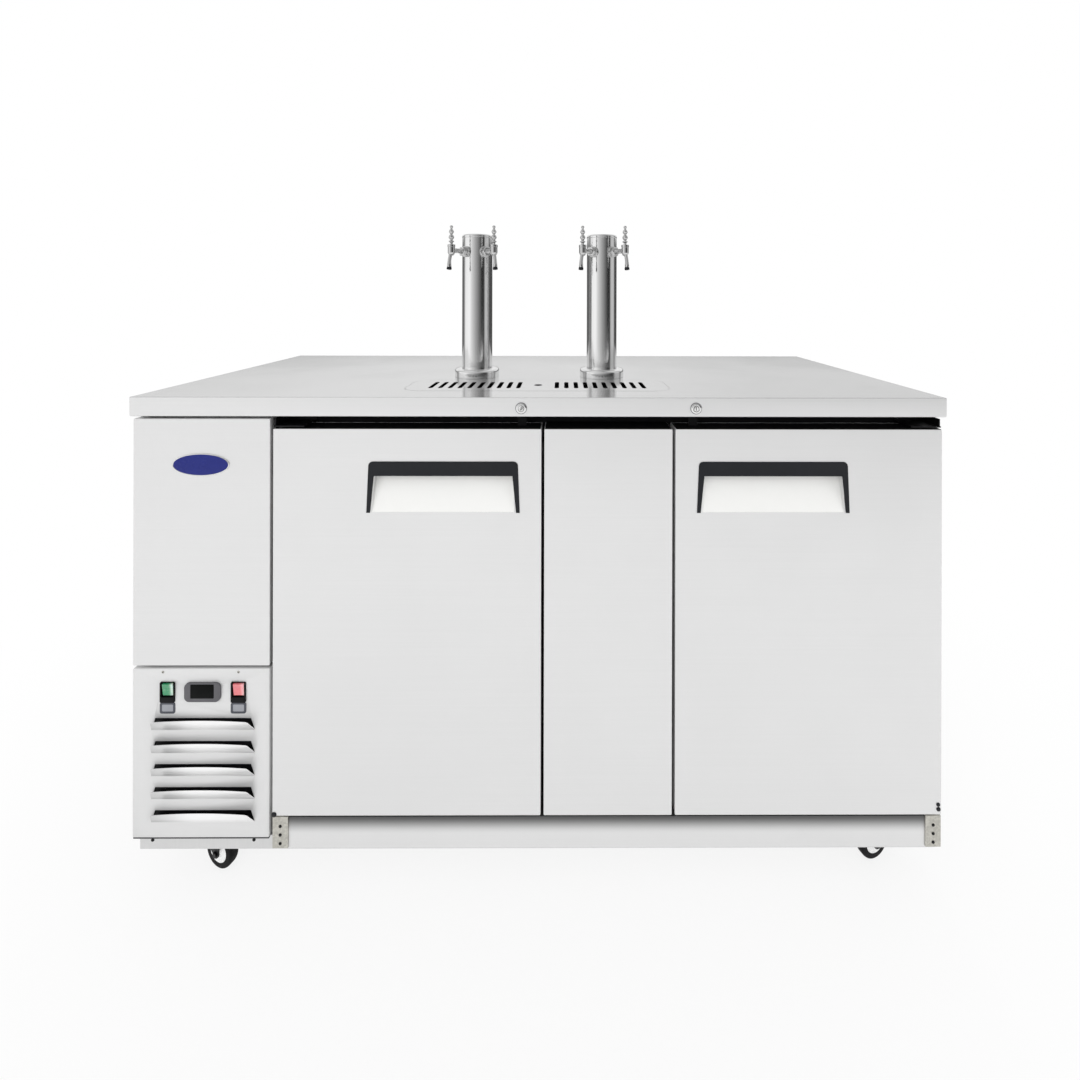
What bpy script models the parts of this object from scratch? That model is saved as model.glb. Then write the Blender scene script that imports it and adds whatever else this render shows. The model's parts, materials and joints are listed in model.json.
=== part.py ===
"""A two-door keg cooler with two draught towers, in metres.

The floor is z = 0 and the front faces -Y. The origin lies on the floor under the middle of the worktop.
Depths are counted back from the worktop's front edge, as behind(depth).
"""
import math

import bmesh
import bpy
from mathutils import Matrix, Vector

# Sheet, clearances and modelling steps
GAP = 0.0003
SHEET = 0.0012
DOOR_SHEET = 0.001
CASE_SHEET = 0.0015
BEND = 0.002
OVERRUN = 0.006
MERGE = 0.000005
LEAST_CORNER = 0.00005
FINE_STEPS = 24
ROUND_STEPS = 20
WHEEL_STEPS = 16
MEDIUM_STEPS = 12
SMALL_STEPS = 10
TINY_STEPS = 8
LEVER_STEPS = 8
BEND_STEPS = 1
CORNER_STEPS = 2
WIDE_CORNER_STEPS = 4
SMOOTH_ANGLE = math.radians(38)

# Worktop: a folded pan with stiffening channels under it
WORKTOP_OVERHANG = 0.0075
WORKTOP_DEPTH = 0.715
WORKTOP_TOP = 1.055
LIP_HEIGHT = 0.0417
LIP_RETURN = 0.016
WORKTOP_CORNER = 0.002
CHANNEL_WIDTH = 0.05
CHANNEL_END_INSET = 0.03
CHANNEL_PLACE_SHARES = (-0.40, -0.256, 0.256, 0.40)

# Body: doors and covers make one front face; the machine bay keeps its width when the body grows
BODY_WIDTH = 1.74
COVER_WIDTH = 0.2925
BODY_BACK = 0.703
FACE_SETBACK = 0.003
REVEAL = 0.006
SIDE_MARGIN = 0.001
DOOR_WIDTH_SHARE = 0.40322
DOOR_DEPTH = 0.055
DOOR_RECESS = 0.0262
GASKET_DEPTH = 0.0077
GASKET_WIDTH = 0.016
GASKET_INSET = 0.017
GASKET_WAIST = 0.0016
GASKET_SHARES = ((0, 0), (1, 0.3), (0, 0.55), (1, 1))
OPENING_INSET = 0.0415
DIKE_INSET = 0.05
DIKE_HEIGHT = 0.012
DIKE_DRAFT = 0.004
FRAME_DEPTH = 0.0447
LINER_WALL = 0.045
LINER_FLOOR = 0.085
LINER_CEILING = 0.062
CASE_FLANGE = 0.018

# Covers of the machine bay
COVER_RETURN = 0.02
COVER_SPLIT = 0.475
COVER_SPLIT_GAP = 0.006
COVER_TOP_GAP = 0.005
LOUVRES = 5
LOUVRE_PITCH = 0.04935
LOUVRE_TOP = 0.3665
LOUVRE_HEIGHT = 0.026
LOUVRE_PROUD = 0.012
LOUVRE_WIDTH = 0.222
LOUVRE_TAPER = 0.0085
LOUVRE_TIP_INSET = 0.0105

# Base frame, kick plate and casters
WHEEL_RADIUS = 0.038
WHEEL_CLEARANCE = 0.003
BASE_SKIRT = 0.03
BASE_INSET = 0.01
BASE_BACK_INSET = 0.001
KICK_SETBACK = 0.008
KICK_BOTTOM = 0.082
KICK_TOP = 0.149
CASTER_INSET_X = 0.128
CASTER_FRONT = 0.06
CASTER_FROM_BACK = 0.051
CASTER_PAD = 0.07
PAD_HEIGHT = 0.0045
RACE_RADIUS = 0.022
RACE_HEIGHT = 0.0107
KINGPIN_RADIUS = 0.006
KINGPIN_RISE = 0.003
CROWN_LENGTH = 0.024
CROWN_HEIGHT = 0.012
CROWN_CLEARANCE = 0.004
CASTER_TRAIL = 0.025
FORK_INNER = 0.028
FORK_SHEET = 0.003
FORK_EYE = 0.009
AXLE_RADIUS = 0.004
TREAD_WIDTH = 0.022
TREAD_CORNER = 0.0035
RIM_RADIUS = 0.028
WEB_WIDTH = 0.014
HUB_RADIUS = 0.0095
CASTER_TRAIL_ANGLES = {"front_left": -20, "front_right": 18, "back_left": 150, "back_right": 60}

# Door hinges
PIVOT_FROM_EDGE = 0.015
PIVOT_BEHIND_FACE = 0.012
HINGE_GAUGE = 0.0025
HINGE_BOSS = 0.0033
HINGE_BOSS_RADIUS = 0.008
HINGE_PIN_RADIUS = 0.004
HINGE_PIN_LENGTH = 0.013
PIN_CLEARANCE = 0.0004
LOWER_HINGE_WIDTH = 0.033
LOWER_HINGE_BOTTOM = 0.0845
LOWER_HINGE_REACH = 0.023
UPPER_HINGE_WIDTH = 0.065
UPPER_HINGE_FRONT = 0.007
UPPER_HINGE_BOSS = 0.0024
UPPER_HINGE_RISE = 0.018
UPPER_HINGE_SIDE_FRONT = 0.01

# Door handles: a black frame round a pressed pocket
HANDLE_EDGE_OFFSET = 0.2108
HANDLE_TOP_BELOW_DOOR = 0.0701
HANDLE_WIDTH = 0.321
HANDLE_FLARE = 0.004
HANDLE_HEIGHT = 0.11
HANDLE_BAR = 0.031
HANDLE_LEG_TOP = 0.012
HANDLE_LEG_FOOT = 0.008
HANDLE_CORNER = 0.009
HANDLE_PLATE = 0.0015
HANDLE_GRIP_DEPTH = 0.0085
HANDLE_GRIP_THICKNESS = 0.004
POCKET_SIDE_COVER = 0.0085
POCKET_TOP_COVER = 0.003
POCKET_FOOT = 0.0015
POCKET_WALL = 0.001
POCKET_DEPTH = 0.026
GRIP_CLEARANCE = 0.002

# Locks in the worktop's front lip, and the strikes on the doors
LOCK_FROM_DOOR_EDGE = 0.0435
LOCK_DROP = 0.023
LOCK_FLANGE_RADIUS = 0.012
LOCK_FLANGE = 0.0025
LOCK_BARREL_RADIUS = 0.0095
LOCK_NUT_RADIUS = 0.0125
LOCK_NUT = 0.004
LOCK_LENGTH = 0.024
LOCK_PLUG_RADIUS = 0.006
LOCK_PLUG_PROUD = 0.0008
LOCK_CAM_LENGTH = 0.031
LOCK_CAM_WIDTH = 0.012
LOCK_CAM_GAUGE = 0.0025
KEY_SLOT_WIDTH = 0.0016
KEY_SLOT_HEIGHT = 0.008
KEY_SLOT_DEPTH = 0.004
STRIKE_WIDTH = 0.02
STRIKE_HEIGHT = 0.0212
STRIKE_FOOT = 0.014
STRIKE_CLEARANCE = 0.0008

# Drain: a pan let into the worktop, with a lift-out grille
DRAIN_X = -0.010
DRAIN_FRONT = 0.072
DRAIN_WIDTH = 0.625
DRAIN_DEPTH = 0.15
DRAIN_CORNER = 0.04
DRAIN_RIM = 0.0012
DRAIN_LEDGE = 0.006
DRAIN_PAN_DEPTH = 0.031
DRAIN_DRAFT = 0.004
GRILLE_THICKNESS = 0.0025
GRILLE_SLOTS = 10
GRILLE_PITCH = 0.023
GRILLE_SLOT_WIDTH = 0.0105
GRILLE_SLOT_LENGTH = 0.084
GRILLE_GROUP_OFFSET = 0.149
FINGER_HOLE_RADIUS = 0.01
DRAIN_PIPE_RADIUS = 0.011
DRAIN_PIPE_WALL = 0.0015
DRAIN_PIPE_LENGTH = 0.02
DRAIN_CUTOUT = 0.044

# Towers and faucets
TOWER_X = -0.0136
TOWER_OFFSET = 0.1676
TOWER_BEHIND = 0.285
COLUMN_RADIUS = 0.04
COLUMN_WALL = 0.002
COLUMN_HEIGHT = 0.367
FLANGE_RADIUS = 0.0585
FLANGE_HEIGHT = 0.021
FLANGE_ROUND = 0.009
FLANGE_ROUND_STEPS = 3
CAP_HEIGHT = 0.009
CAP_RIM_SHARE = 0.5
CAP_SHOULDER_SHARE = 0.75
CAP_SPIGOT = 0.012
CAP_OVERHANG = 0.0006
LINE_HOLE_RADIUS = 0.03
LINE_CUTOUT = 0.06
SHANK_BELOW_CAP = 0.035
FAUCET_SPREAD = 36.5
SHANK_RADIUS = 0.0105
SHANK_INSIDE = 0.012
COLLAR_RADIUS = 0.0145
COLLAR_LENGTH = 0.0065
NUT_RADIUS = 0.0128
NUT_LENGTH = 0.011
NECK_RADIUS = 0.0082
FAUCET_REACH = 0.0912
CUP_RADIUS = 0.0108
CUP_BORE = 0.0088
CUP_RIM = 0.015
CUP_FLOOR = 0.0027
CUP_FOOT = 0.014
BALL_RADIUS = 0.005
BALL_ARC = (-90, 50)
SPOUT_ANGLE = 18
SPOUT_LENGTH = 0.05
SPOUT_RADIUS = 0.0068
SPOUT_LIP_RADIUS = 0.0078
SPOUT_BORE = 0.0045
SPOUT_BORE_DEPTH = 0.03
LEVER_LENGTH = 0.061
LEVER_BULGE = 0.0062
LEVER_SHARES = (
    (0.5, 0.0), (1.0, 0.03), (1.0, 0.1), (0.5, 0.18), (0.9, 0.29), (0.9, 0.38), (0.55, 0.48), (0.8, 0.64),
    (0.5, 0.82), (0.5, 0.94), (0.0, 1.0),
)
FAUCET_NAMES = ("left_outer", "left_inner", "right_inner", "right_outer")

# Controls on the louvre panel
CONTROLS_FROM_EDGE = 0.151
CONTROLS_Z = 0.4225
SWITCH_SPREAD = 0.0757
SWITCH_WIDTH = 0.032
SWITCH_HEIGHT = 0.044
SWITCH_PROUD = 0.0025
SWITCH_BODY_INSET = 0.002
SWITCH_BODY_DEPTH = 0.026
SWITCH_CORNER = 0.003
ROCKER_WIDTH = 0.025
ROCKER_HEIGHT = 0.0264
ROCKER_RISE = 0.0055
ROCKER_FRONT = 0.007
ROCKER_DISH = 0.0018
ROCKER_BACK = 0.0035
ROCKER_BACK_SHARE = 0.68
ROCKER_PIVOT_BEHIND_FACE = 0.003
ROCKER_TILT = 7
ROCKER_WELL_DEPTH = 0.012
ROCKER_SWING_GAP = 0.0022
CONTROLLER_WIDTH = 0.079
CONTROLLER_HEIGHT = 0.0425
CONTROLLER_CORNER = 0.006
CONTROLLER_PROUD = 0.004
CONTROLLER_BODY_WIDTH = 0.071
CONTROLLER_BODY_HEIGHT = 0.029
CONTROLLER_BODY_DEPTH = 0.055
WINDOW_WIDTH = 0.05
WINDOW_HEIGHT = 0.03
WINDOW_RISE = 0.0035
WINDOW_DEPTH = 0.0008
HOLE_CLEARANCE = 0.0004
BEZEL_EDGE_SHARE = 1 / 3

# Cooling unit in the machine bay
COMPRESSOR_RADIUS = 0.085
COMPRESSOR_HEIGHT = 0.165
COMPRESSOR_BEHIND = 0.5
COMPRESSOR_LIFT = 0.018
DOME_SHARES = (
    (0, 0), (0.75, 0), (1, 0.15), (1, 0.62), (1.03, 0.63), (1.03, 0.68), (0.85, 0.88), (0.5, 0.98), (0, 1),
)
FOOT_PLATE_WIDTH = 0.215
FOOT_PLATE_DEPTH = 0.16
FOOT_PLATE_GAUGE = 0.003
FOOT_RADIUS = 0.012
FOOT_INSET = 0.018
TERMINAL_BOX_WIDTH = 0.05
TERMINAL_BOX_DEPTH = 0.034
TERMINAL_BOX_HEIGHT = 0.06
PIPE_RADIUS = 0.006
PIPE_STUB = 0.045
CONDENSER_WIDTH = 0.25
CONDENSER_HEIGHT = 0.27
CONDENSER_FRONT = 0.062
COIL_DEPTH = 0.044
COIL_FINS = 12
FIN_DEPTH_SHARE = 0.45
SHROUD_DEPTH = 0.035
SHROUD_WALL = 0.0015
FAN_RADIUS = 0.098
FAN_RUNNING_GAP = 0.006
FAN_HUB_RADIUS = 0.02
FAN_HUB_LENGTH = 0.016
FAN_BLADES = 5
FAN_BLADE_GAUGE = 0.0015
FAN_PITCH = 26
FAN_CHORD_SHARE = 0.66
FAN_ROOT_SHARE = 0.8
FAN_MIDDLE_SHARE = 0.6
FAN_STATION_SHARES = ((0.5, 1.3), (0.8, 1.0), (1.0, 0.7))
FAN_BORE = 0.004
BORE_CLEARANCE = 0.0003
MOTOR_RADIUS = 0.036
MOTOR_LENGTH = 0.05
MOTOR_GAP = 0.006
STRAP_WIDTH = 0.014
STRAP_GAUGE = 0.002

# Evaporator on the keg compartment's left wall
EVAPORATOR_DEPTH_X = 0.11
EVAPORATOR_BEHIND = 0.25
EVAPORATOR_LENGTH = 0.29
EVAPORATOR_TOP_GAP = 0.05
EVAPORATOR_HEIGHT = 0.27
EVAPORATOR_FAN_RADIUS = 0.08
EVAPORATOR_COIL_SHARE = 0.32
EVAPORATOR_DRAIN_SLOT = 0.02

# Vent slots at the back of the machine bay
BACK_VENT_MARGIN = 0.012
BACK_VENT_BOTTOM = 0.13
BACK_VENT_TOP = 0.95
BACK_SLOT_ROWS = 10
BACK_SLOT_COLUMNS = 2
BACK_SLOT_HEIGHT = 0.009
BACK_SLOT_WIDTH_SHARE = 0.36

# Heights and faces that follow from the sizes above
LIP_BOTTOM = WORKTOP_TOP - LIP_HEIGHT
CASE_TOP = LIP_BOTTOM - GAP
BASE_BOTTOM = WHEEL_RADIUS * 2 + WHEEL_CLEARANCE
BASE_TOP = BASE_BOTTOM + BASE_SKIRT
BODY_BOTTOM = BASE_TOP + GAP
PAD_BOTTOM = BASE_TOP - CASE_SHEET - PAD_HEIGHT
FORK_TOP = PAD_BOTTOM - GAP - RACE_HEIGHT
CROWN_BOTTOM = WHEEL_RADIUS * 2 + CROWN_CLEARANCE
DOOR_TOP = CASE_TOP - DOOR_RECESS
LOWER_ARM_BOTTOM = KICK_TOP + GAP
DOOR_BOTTOM = LOWER_ARM_BOTTOM + HINGE_GAUGE + HINGE_BOSS + GAP
DOOR_BACK = FACE_SETBACK + DOOR_DEPTH
FRAME_FRONT = DOOR_BACK + GAP + GASKET_DEPTH + GAP
LINER_FRONT = FRAME_FRONT + FRAME_DEPTH + GAP
LINER_BACK = BODY_BACK - CASE_SHEET - GAP
OPENING_BOTTOM = DOOR_BOTTOM + OPENING_INSET
OPENING_TOP = DOOR_TOP - OPENING_INSET
CEILING_BOTTOM = CASE_TOP - LINER_CEILING
SHANK_Z = WORKTOP_TOP + COLUMN_HEIGHT - SHANK_BELOW_CAP
LOCK_Z = WORKTOP_TOP - LOCK_DROP

# Sizes that follow from the body's
BASE_BACK = BODY_BACK - BASE_BACK_INSET
CASTER_BACK = BASE_BACK - CASTER_FROM_BACK
WORKTOP_WIDTH = BODY_WIDTH + WORKTOP_OVERHANG * 2
BASE_WIDTH = BODY_WIDTH - BASE_INSET * 2
DOORS_AND_PANEL = BODY_WIDTH - COVER_WIDTH - REVEAL * 3 - SIDE_MARGIN
DOOR_WIDTH = DOORS_AND_PANEL * DOOR_WIDTH_SHARE
CENTRE_PANEL_WIDTH = DOORS_AND_PANEL - DOOR_WIDTH * 2

# Places across the front, from the right-hand side to the left
RIGHT_DOOR_RIGHT = BODY_WIDTH / 2 - SIDE_MARGIN
RIGHT_DOOR_LEFT = RIGHT_DOOR_RIGHT - DOOR_WIDTH
PANEL_RIGHT = RIGHT_DOOR_LEFT - REVEAL
PANEL_LEFT = PANEL_RIGHT - CENTRE_PANEL_WIDTH
LEFT_DOOR_RIGHT = PANEL_LEFT - REVEAL
LEFT_DOOR_LEFT = LEFT_DOOR_RIGHT - DOOR_WIDTH
COVER_RIGHT = LEFT_DOOR_LEFT - REVEAL
COVER_LEFT = -BODY_WIDTH / 2
CONTROLS_X = COVER_LEFT + CONTROLS_FROM_EDGE
BOX_LEFT = COVER_RIGHT - SHEET
BOX_RIGHT = BODY_WIDTH / 2 - CASE_SHEET - GAP
BAY_CENTRE = (COVER_LEFT + BOX_LEFT) / 2
DOOR_SPANS = {"left": (LEFT_DOOR_LEFT, LEFT_DOOR_RIGHT), "right": (RIGHT_DOOR_LEFT, RIGHT_DOOR_RIGHT)}
HINGE_SIDES = {"left": -1, "right": 1}
SWITCH_PLACES = {"left": -SWITCH_SPREAD, "right": SWITCH_SPREAD}

# Finishes: colour, roughness, metallic
PALE_STEEL = ((0.72, 0.72, 0.72), 0.38, 0.6)
WORKTOP_STEEL = ((0.66, 0.66, 0.66), 0.3, 0.9)
POLISHED_STEEL = ((0.75, 0.75, 0.76), 0.12, 1.0)
ZINC = ((0.5, 0.49, 0.46), 0.45, 0.8)
BLACK_PLASTIC = ((0.015, 0.016, 0.018), 0.4, 0.0)
GREY_PLASTIC = ((0.1, 0.1, 0.11), 0.45, 0.0)
WHITE_LINER = ((0.82, 0.82, 0.82), 0.5, 0.0)
BLACK_RUBBER = ((0.02, 0.02, 0.022), 0.7, 0.0)
GREEN_LENS = ((0.03, 0.36, 0.16), 0.25, 0.0)
RED_LENS = ((0.75, 0.2, 0.2), 0.25, 0.0)
BLACK_STEEL = ((0.02, 0.02, 0.02), 0.5, 0.4)
ALUMINIUM = ((0.6, 0.61, 0.62), 0.4, 0.9)


def behind(depth):
    """The Y of a place that lies this far behind the worktop's front edge."""
    return depth - WORKTOP_DEPTH / 2


def box(bm, low, high):
    """Add a cuboid between two opposite corners."""
    low, high = Vector(low), Vector(high)
    size = Matrix.Diagonal((*(high - low), 1))
    bmesh.ops.create_cube(bm, size=1, matrix=Matrix.Translation((low + high) / 2) @ size)


def placed(axis, u, v, w):
    """A point of an outline (u, v), at w along the axis that the outline is square to."""
    return {"X": (w, u, v), "Y": (u, w, v), "Z": (u, v, w)}[axis]


def loft(bm, loops, closed=False):
    """Skin a row of loops with equal counts of points; cap its ends, or join them when closed."""
    rings = [[bm.verts.new(point) for point in loop] for loop in loops]
    pairs = list(zip(rings, rings[1:] + rings[:1] if closed else rings[1:]))
    for ring, following in pairs:
        for i in range(len(ring)):
            j = (i + 1) % len(ring)
            bm.faces.new((ring[i], ring[j], following[j], following[i]))
    if not closed:
        bm.faces.new(reversed(rings[0]))
        bm.faces.new(rings[-1])


def prism(bm, outline, axis, start, end):
    """Extrude a flat outline along X, Y or Z."""
    loft(bm, [[placed(axis, u, v, w) for u, v in outline] for w in (start, end)])


def turned(bm, profile, steps, frame=Matrix(), hollow=False):
    """Turn a profile of (radius, height) points about the frame's Z axis."""
    start = len(bm.verts)
    points = [bm.verts.new((radius, 0, height)) for radius, height in profile]
    ends = zip(points, points[1:] + points[:1] if hollow else points[1:])
    edges = [bm.edges.new(pair) for pair in ends]
    bmesh.ops.spin(
        bm, geom=points + edges, axis=(0, 0, 1), cent=(0, 0, 0), angle=math.tau, steps=steps, use_merge=True
    )
    bmesh.ops.remove_doubles(bm, verts=bm.verts[:][start:], dist=MERGE)
    bmesh.ops.transform(bm, matrix=frame, verts=bm.verts[:][start:])


def rod(bm, radius, start, end, steps, frame=Matrix()):
    """A plain round bar along the frame's Z axis."""
    turned(bm, [(0, start), (radius, start), (radius, end), (0, end)], steps, frame)


def rounded_outline(width, height, corner, steps, centre=(0, 0)):
    """A rectangle with round corners, as a list of points."""
    points = []
    for quarter, (side_u, side_v) in enumerate(((1, 1), (-1, 1), (-1, -1), (1, -1))):
        middle_u = centre[0] + side_u * (width / 2 - corner)
        middle_v = centre[1] + side_v * (height / 2 - corner)
        for step in range(steps + 1):
            angle = math.pi / 2 * (quarter + step / steps)
            points.append((middle_u + corner * math.cos(angle), middle_v + corner * math.sin(angle)))
    return points


def arc(centre, radius, start, end, steps):
    """Points on an arc, angles in degrees."""
    angles = [math.radians(start + (end - start) * step / steps) for step in range(steps + 1)]
    return [(centre[0] + radius * math.cos(a), centre[1] + radius * math.sin(a)) for a in angles]


def offset_line(path, distance):
    """Shift an open line of points to the left of its run, with mitred corners."""
    runs = [(Vector(b) - Vector(a)).normalized() for a, b in zip(path, path[1:])]
    sides = [Vector((-run.y, run.x)) for run in runs]
    shifted = [Vector(path[0]) + sides[0] * distance]
    for point, before, after in zip(path[1:-1], sides, sides[1:]):
        shifted.append(Vector(point) + (before + after) * distance / (1 + before.dot(after)))
    shifted.append(Vector(path[-1]) + sides[-1] * distance)
    return [tuple(point) for point in shifted]


def folded(path, sheet):
    """The outline of a sheet folded along a line; a positive sheet lies to the left of the run."""
    return list(path) + offset_line(path, sheet)[::-1]


def shaped(shares, radius, length, start=0):
    """A turned profile from shares of a radius and a length."""
    return [(radius * r, start + length * h) for r, h in shares]


def turned_frame(place, direction):
    """A frame whose Z axis points along a direction."""
    return Matrix.Translation(place) @ Vector(direction).to_track_quat("Z", "Y").to_matrix().to_4x4()


def look_of(name, finish):
    """A material of one piece's own."""
    colour, roughness, metallic = finish
    material = bpy.data.materials.new(name)
    material.use_nodes = True
    shader = material.node_tree.nodes["Principled BSDF"]
    shader.inputs["Base Color"].default_value = (*colour, 1)
    shader.inputs["Roughness"].default_value = roughness
    shader.inputs["Metallic"].default_value = metallic
    return material


def mesh_object(name, bm, origin):
    """Link a mesh as an object, with its origin at a place of its own."""
    bmesh.ops.recalc_face_normals(bm, faces=bm.faces)
    bmesh.ops.translate(bm, verts=bm.verts, vec=-Vector(origin))
    mesh = bpy.data.meshes.new(name)
    bm.to_mesh(mesh)
    bm.free()
    made = bpy.data.objects.new(name, mesh)
    made.location = origin
    bpy.context.scene.collection.objects.link(made)
    return made


def piece(name, bm, finish, origin=(0, 0, 0), smooth=False):
    """Make one sub-part."""
    made = mesh_object(name, bm, origin)
    made.data.materials.append(look_of(name, finish))
    if smooth:
        made.data.shade_smooth()
        made.data.set_sharp_from_angle(angle=SMOOTH_ANGLE)
    return made


def boolean(target, bm, operation):
    """Cut a tool mesh from a piece, or weld it on; the tool stays hidden under the piece."""
    count = len(target.modifiers)
    tool = mesh_object(f"{target.name}_tool_{count}", bm, (0, 0, 0))
    tool.parent = target
    tool.matrix_parent_inverse = Matrix.Translation(target.location).inverted()
    tool.hide_render = True
    tool.display_type = "WIRE"
    tool.hide_set(True)
    step = target.modifiers.new(f"{operation.lower()}_{count}", "BOOLEAN")
    step.operation = operation
    step.solver = "EXACT"
    step.object = tool


def cut(target, build, *values):
    """Cut away what build adds to an empty mesh."""
    bm = bmesh.new()
    build(bm, *values)
    boolean(target, bm, "DIFFERENCE")


def weld(target, build, *values):
    """Weld on what build adds to an empty mesh."""
    bm = bmesh.new()
    build(bm, *values)
    boolean(target, bm, "UNION")


def sheet_pan(bm, span, heights, face, back, sheet):
    """A pan of folded sheet: a face in the XZ plane with four returns, open at the back."""
    width, height = span[1] - span[0], heights[1] - heights[0]
    centre = ((span[0] + span[1]) / 2, (heights[0] + heights[1]) / 2)

    def loop(inset, depth):
        corner = max(BEND - inset, LEAST_CORNER)
        outline = rounded_outline(width - 2 * inset, height - 2 * inset, corner, BEND_STEPS, centre)
        return [placed("Y", u, v, behind(depth)) for u, v in outline]

    half_bend = BEND * (1 - math.sqrt(2) / 2)
    loft(bm, [
        loop(BEND, face),
        loop(half_bend, face + half_bend),
        loop(0, face + BEND),
        loop(0, back),
        loop(sheet, back),
        loop(sheet, face + sheet),
    ])


def make_worktop():
    """The worktop: a pan with lips and return flanges, cut for the drain, the towers and the locks."""
    bm = bmesh.new()

    def loop(inset, height):
        corner = max(WORKTOP_CORNER - inset, LEAST_CORNER)
        outline = rounded_outline(
            WORKTOP_WIDTH - 2 * inset, WORKTOP_DEPTH - 2 * inset, corner, BEND_STEPS
        )
        return [placed("Z", u, v, height) for u, v in outline]

    half_round = WORKTOP_CORNER * (1 - math.sqrt(2) / 2)
    loft(bm, [
        loop(WORKTOP_CORNER, WORKTOP_TOP),
        loop(half_round, WORKTOP_TOP - half_round),
        loop(0, WORKTOP_TOP - WORKTOP_CORNER),
        loop(0, LIP_BOTTOM + BEND),
        loop(BEND, LIP_BOTTOM),
        loop(LIP_RETURN, LIP_BOTTOM),
        loop(LIP_RETURN, LIP_BOTTOM + SHEET),
        loop(BEND + SHEET, LIP_BOTTOM + SHEET),
        loop(SHEET, LIP_BOTTOM + SHEET + BEND),
        loop(SHEET, WORKTOP_TOP - SHEET),
    ])
    worktop = piece("worktop", bm, WORKTOP_STEEL)
    weld(worktop, worktop_channels)
    cut(worktop, drain_opening)
    for side in (-1, 1):
        cut(worktop, line_hole, TOWER_X + side * TOWER_OFFSET)
    for side in HINGE_SIDES:
        bore = LOCK_BARREL_RADIUS + PIN_CLEARANCE
        cut(worktop, rod, bore, -OVERRUN, OVERRUN, MEDIUM_STEPS, lock_frame(side, 0))


def worktop_channels(bm):
    """Channels from front to back that stiffen the worktop and stand on the cabinet."""
    low, high = LIP_BOTTOM, WORKTOP_TOP - SHEET / 2
    for share in CHANNEL_PLACE_SHARES:
        left = share * WORKTOP_WIDTH - CHANNEL_WIDTH / 2
        right = left + CHANNEL_WIDTH
        outline = folded([(left, high), (left, low), (right, low), (right, high)], SHEET)
        prism(bm, outline, "Y", behind(CHANNEL_END_INSET), behind(WORKTOP_DEPTH - CHANNEL_END_INSET))


def drain_outline(inset):
    """The outline of the drain, drawn in from its edge by an inset."""
    centre = (DRAIN_X, behind(DRAIN_FRONT + DRAIN_DEPTH / 2))
    return rounded_outline(
        DRAIN_WIDTH - 2 * inset, DRAIN_DEPTH - 2 * inset, DRAIN_CORNER - inset, WIDE_CORNER_STEPS, centre
    )


def drain_opening(bm):
    """The hole in the worktop that the drain pan hangs in."""
    prism(bm, drain_outline(0), "Z", WORKTOP_TOP - OVERRUN, WORKTOP_TOP + OVERRUN)


def line_hole(bm, x):
    """A hole under a tower for its lines, through the worktop's sheet."""
    frame = Matrix.Translation((x, behind(TOWER_BEHIND), WORKTOP_TOP))
    rod(bm, LINE_HOLE_RADIUS, -OVERRUN, OVERRUN, ROUND_STEPS, frame)


def make_drain():
    """The drip pan with its drain pipe, and the slotted grille that lies in its ledge."""
    ledge_top = WORKTOP_TOP - GRILLE_THICKNESS - GAP
    pan_bottom = WORKTOP_TOP - DRAIN_PAN_DEPTH
    ledge_end = DRAIN_RIM + DRAIN_LEDGE
    floor_end = ledge_end + DRAIN_DRAFT
    steps = (
        (GAP, WORKTOP_TOP),
        (GAP + DRAIN_RIM, WORKTOP_TOP),
        (GAP + DRAIN_RIM, ledge_top),
        (ledge_end, ledge_top),
        (floor_end, pan_bottom + SHEET),
    )
    outside = (
        (floor_end - SHEET, pan_bottom),
        (ledge_end - SHEET, ledge_top - SHEET),
        (GAP, ledge_top - SHEET),
    )
    bm = bmesh.new()
    loops = [[placed("Z", u, v, z) for u, v in drain_outline(inset)] for inset, z in steps]
    outer = [[placed("Z", u, v, z) for u, v in drain_outline(inset)] for inset, z in outside]
    loft(bm, loops[::-1] + outer[::-1])
    pan = piece("drip_pan", bm, WORKTOP_STEEL)
    middle = Matrix.Translation((DRAIN_X, behind(DRAIN_FRONT + DRAIN_DEPTH / 2), pan_bottom))
    weld(pan, rod, DRAIN_PIPE_RADIUS, -DRAIN_PIPE_LENGTH, SHEET / 2, SMALL_STEPS, middle)
    bore = DRAIN_PIPE_RADIUS - DRAIN_PIPE_WALL
    cut(pan, rod, bore, -DRAIN_PIPE_LENGTH - OVERRUN, OVERRUN, SMALL_STEPS, middle)

    bm = bmesh.new()
    bottom, top = ledge_top + GAP, WORKTOP_TOP
    prism(bm, drain_outline(GAP + DRAIN_RIM + GAP), "Z", bottom, top)
    place = (DRAIN_X, behind(DRAIN_FRONT + DRAIN_DEPTH / 2), bottom)
    grille = piece("drain_grille", bm, WORKTOP_STEEL, place)
    cut(grille, grille_slots)


def grille_slots(bm):
    """Two groups of slots with round ends, and a finger hole between them."""
    y = behind(DRAIN_FRONT + DRAIN_DEPTH / 2)
    low, high = WORKTOP_TOP - OVERRUN, WORKTOP_TOP + OVERRUN
    for group in (-1, 1):
        for slot in range(GRILLE_SLOTS):
            x = DRAIN_X + group * GRILLE_GROUP_OFFSET + (slot - (GRILLE_SLOTS - 1) / 2) * GRILLE_PITCH
            corner = GRILLE_SLOT_WIDTH / 2 - MERGE
            outline = rounded_outline(GRILLE_SLOT_WIDTH, GRILLE_SLOT_LENGTH, corner, BEND_STEPS, (x, y))
            prism(bm, outline, "Z", low, high)
    rod(bm, FINGER_HOLE_RADIUS, low, high, ROUND_STEPS, Matrix.Translation((DRAIN_X, y, 0)))


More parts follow.
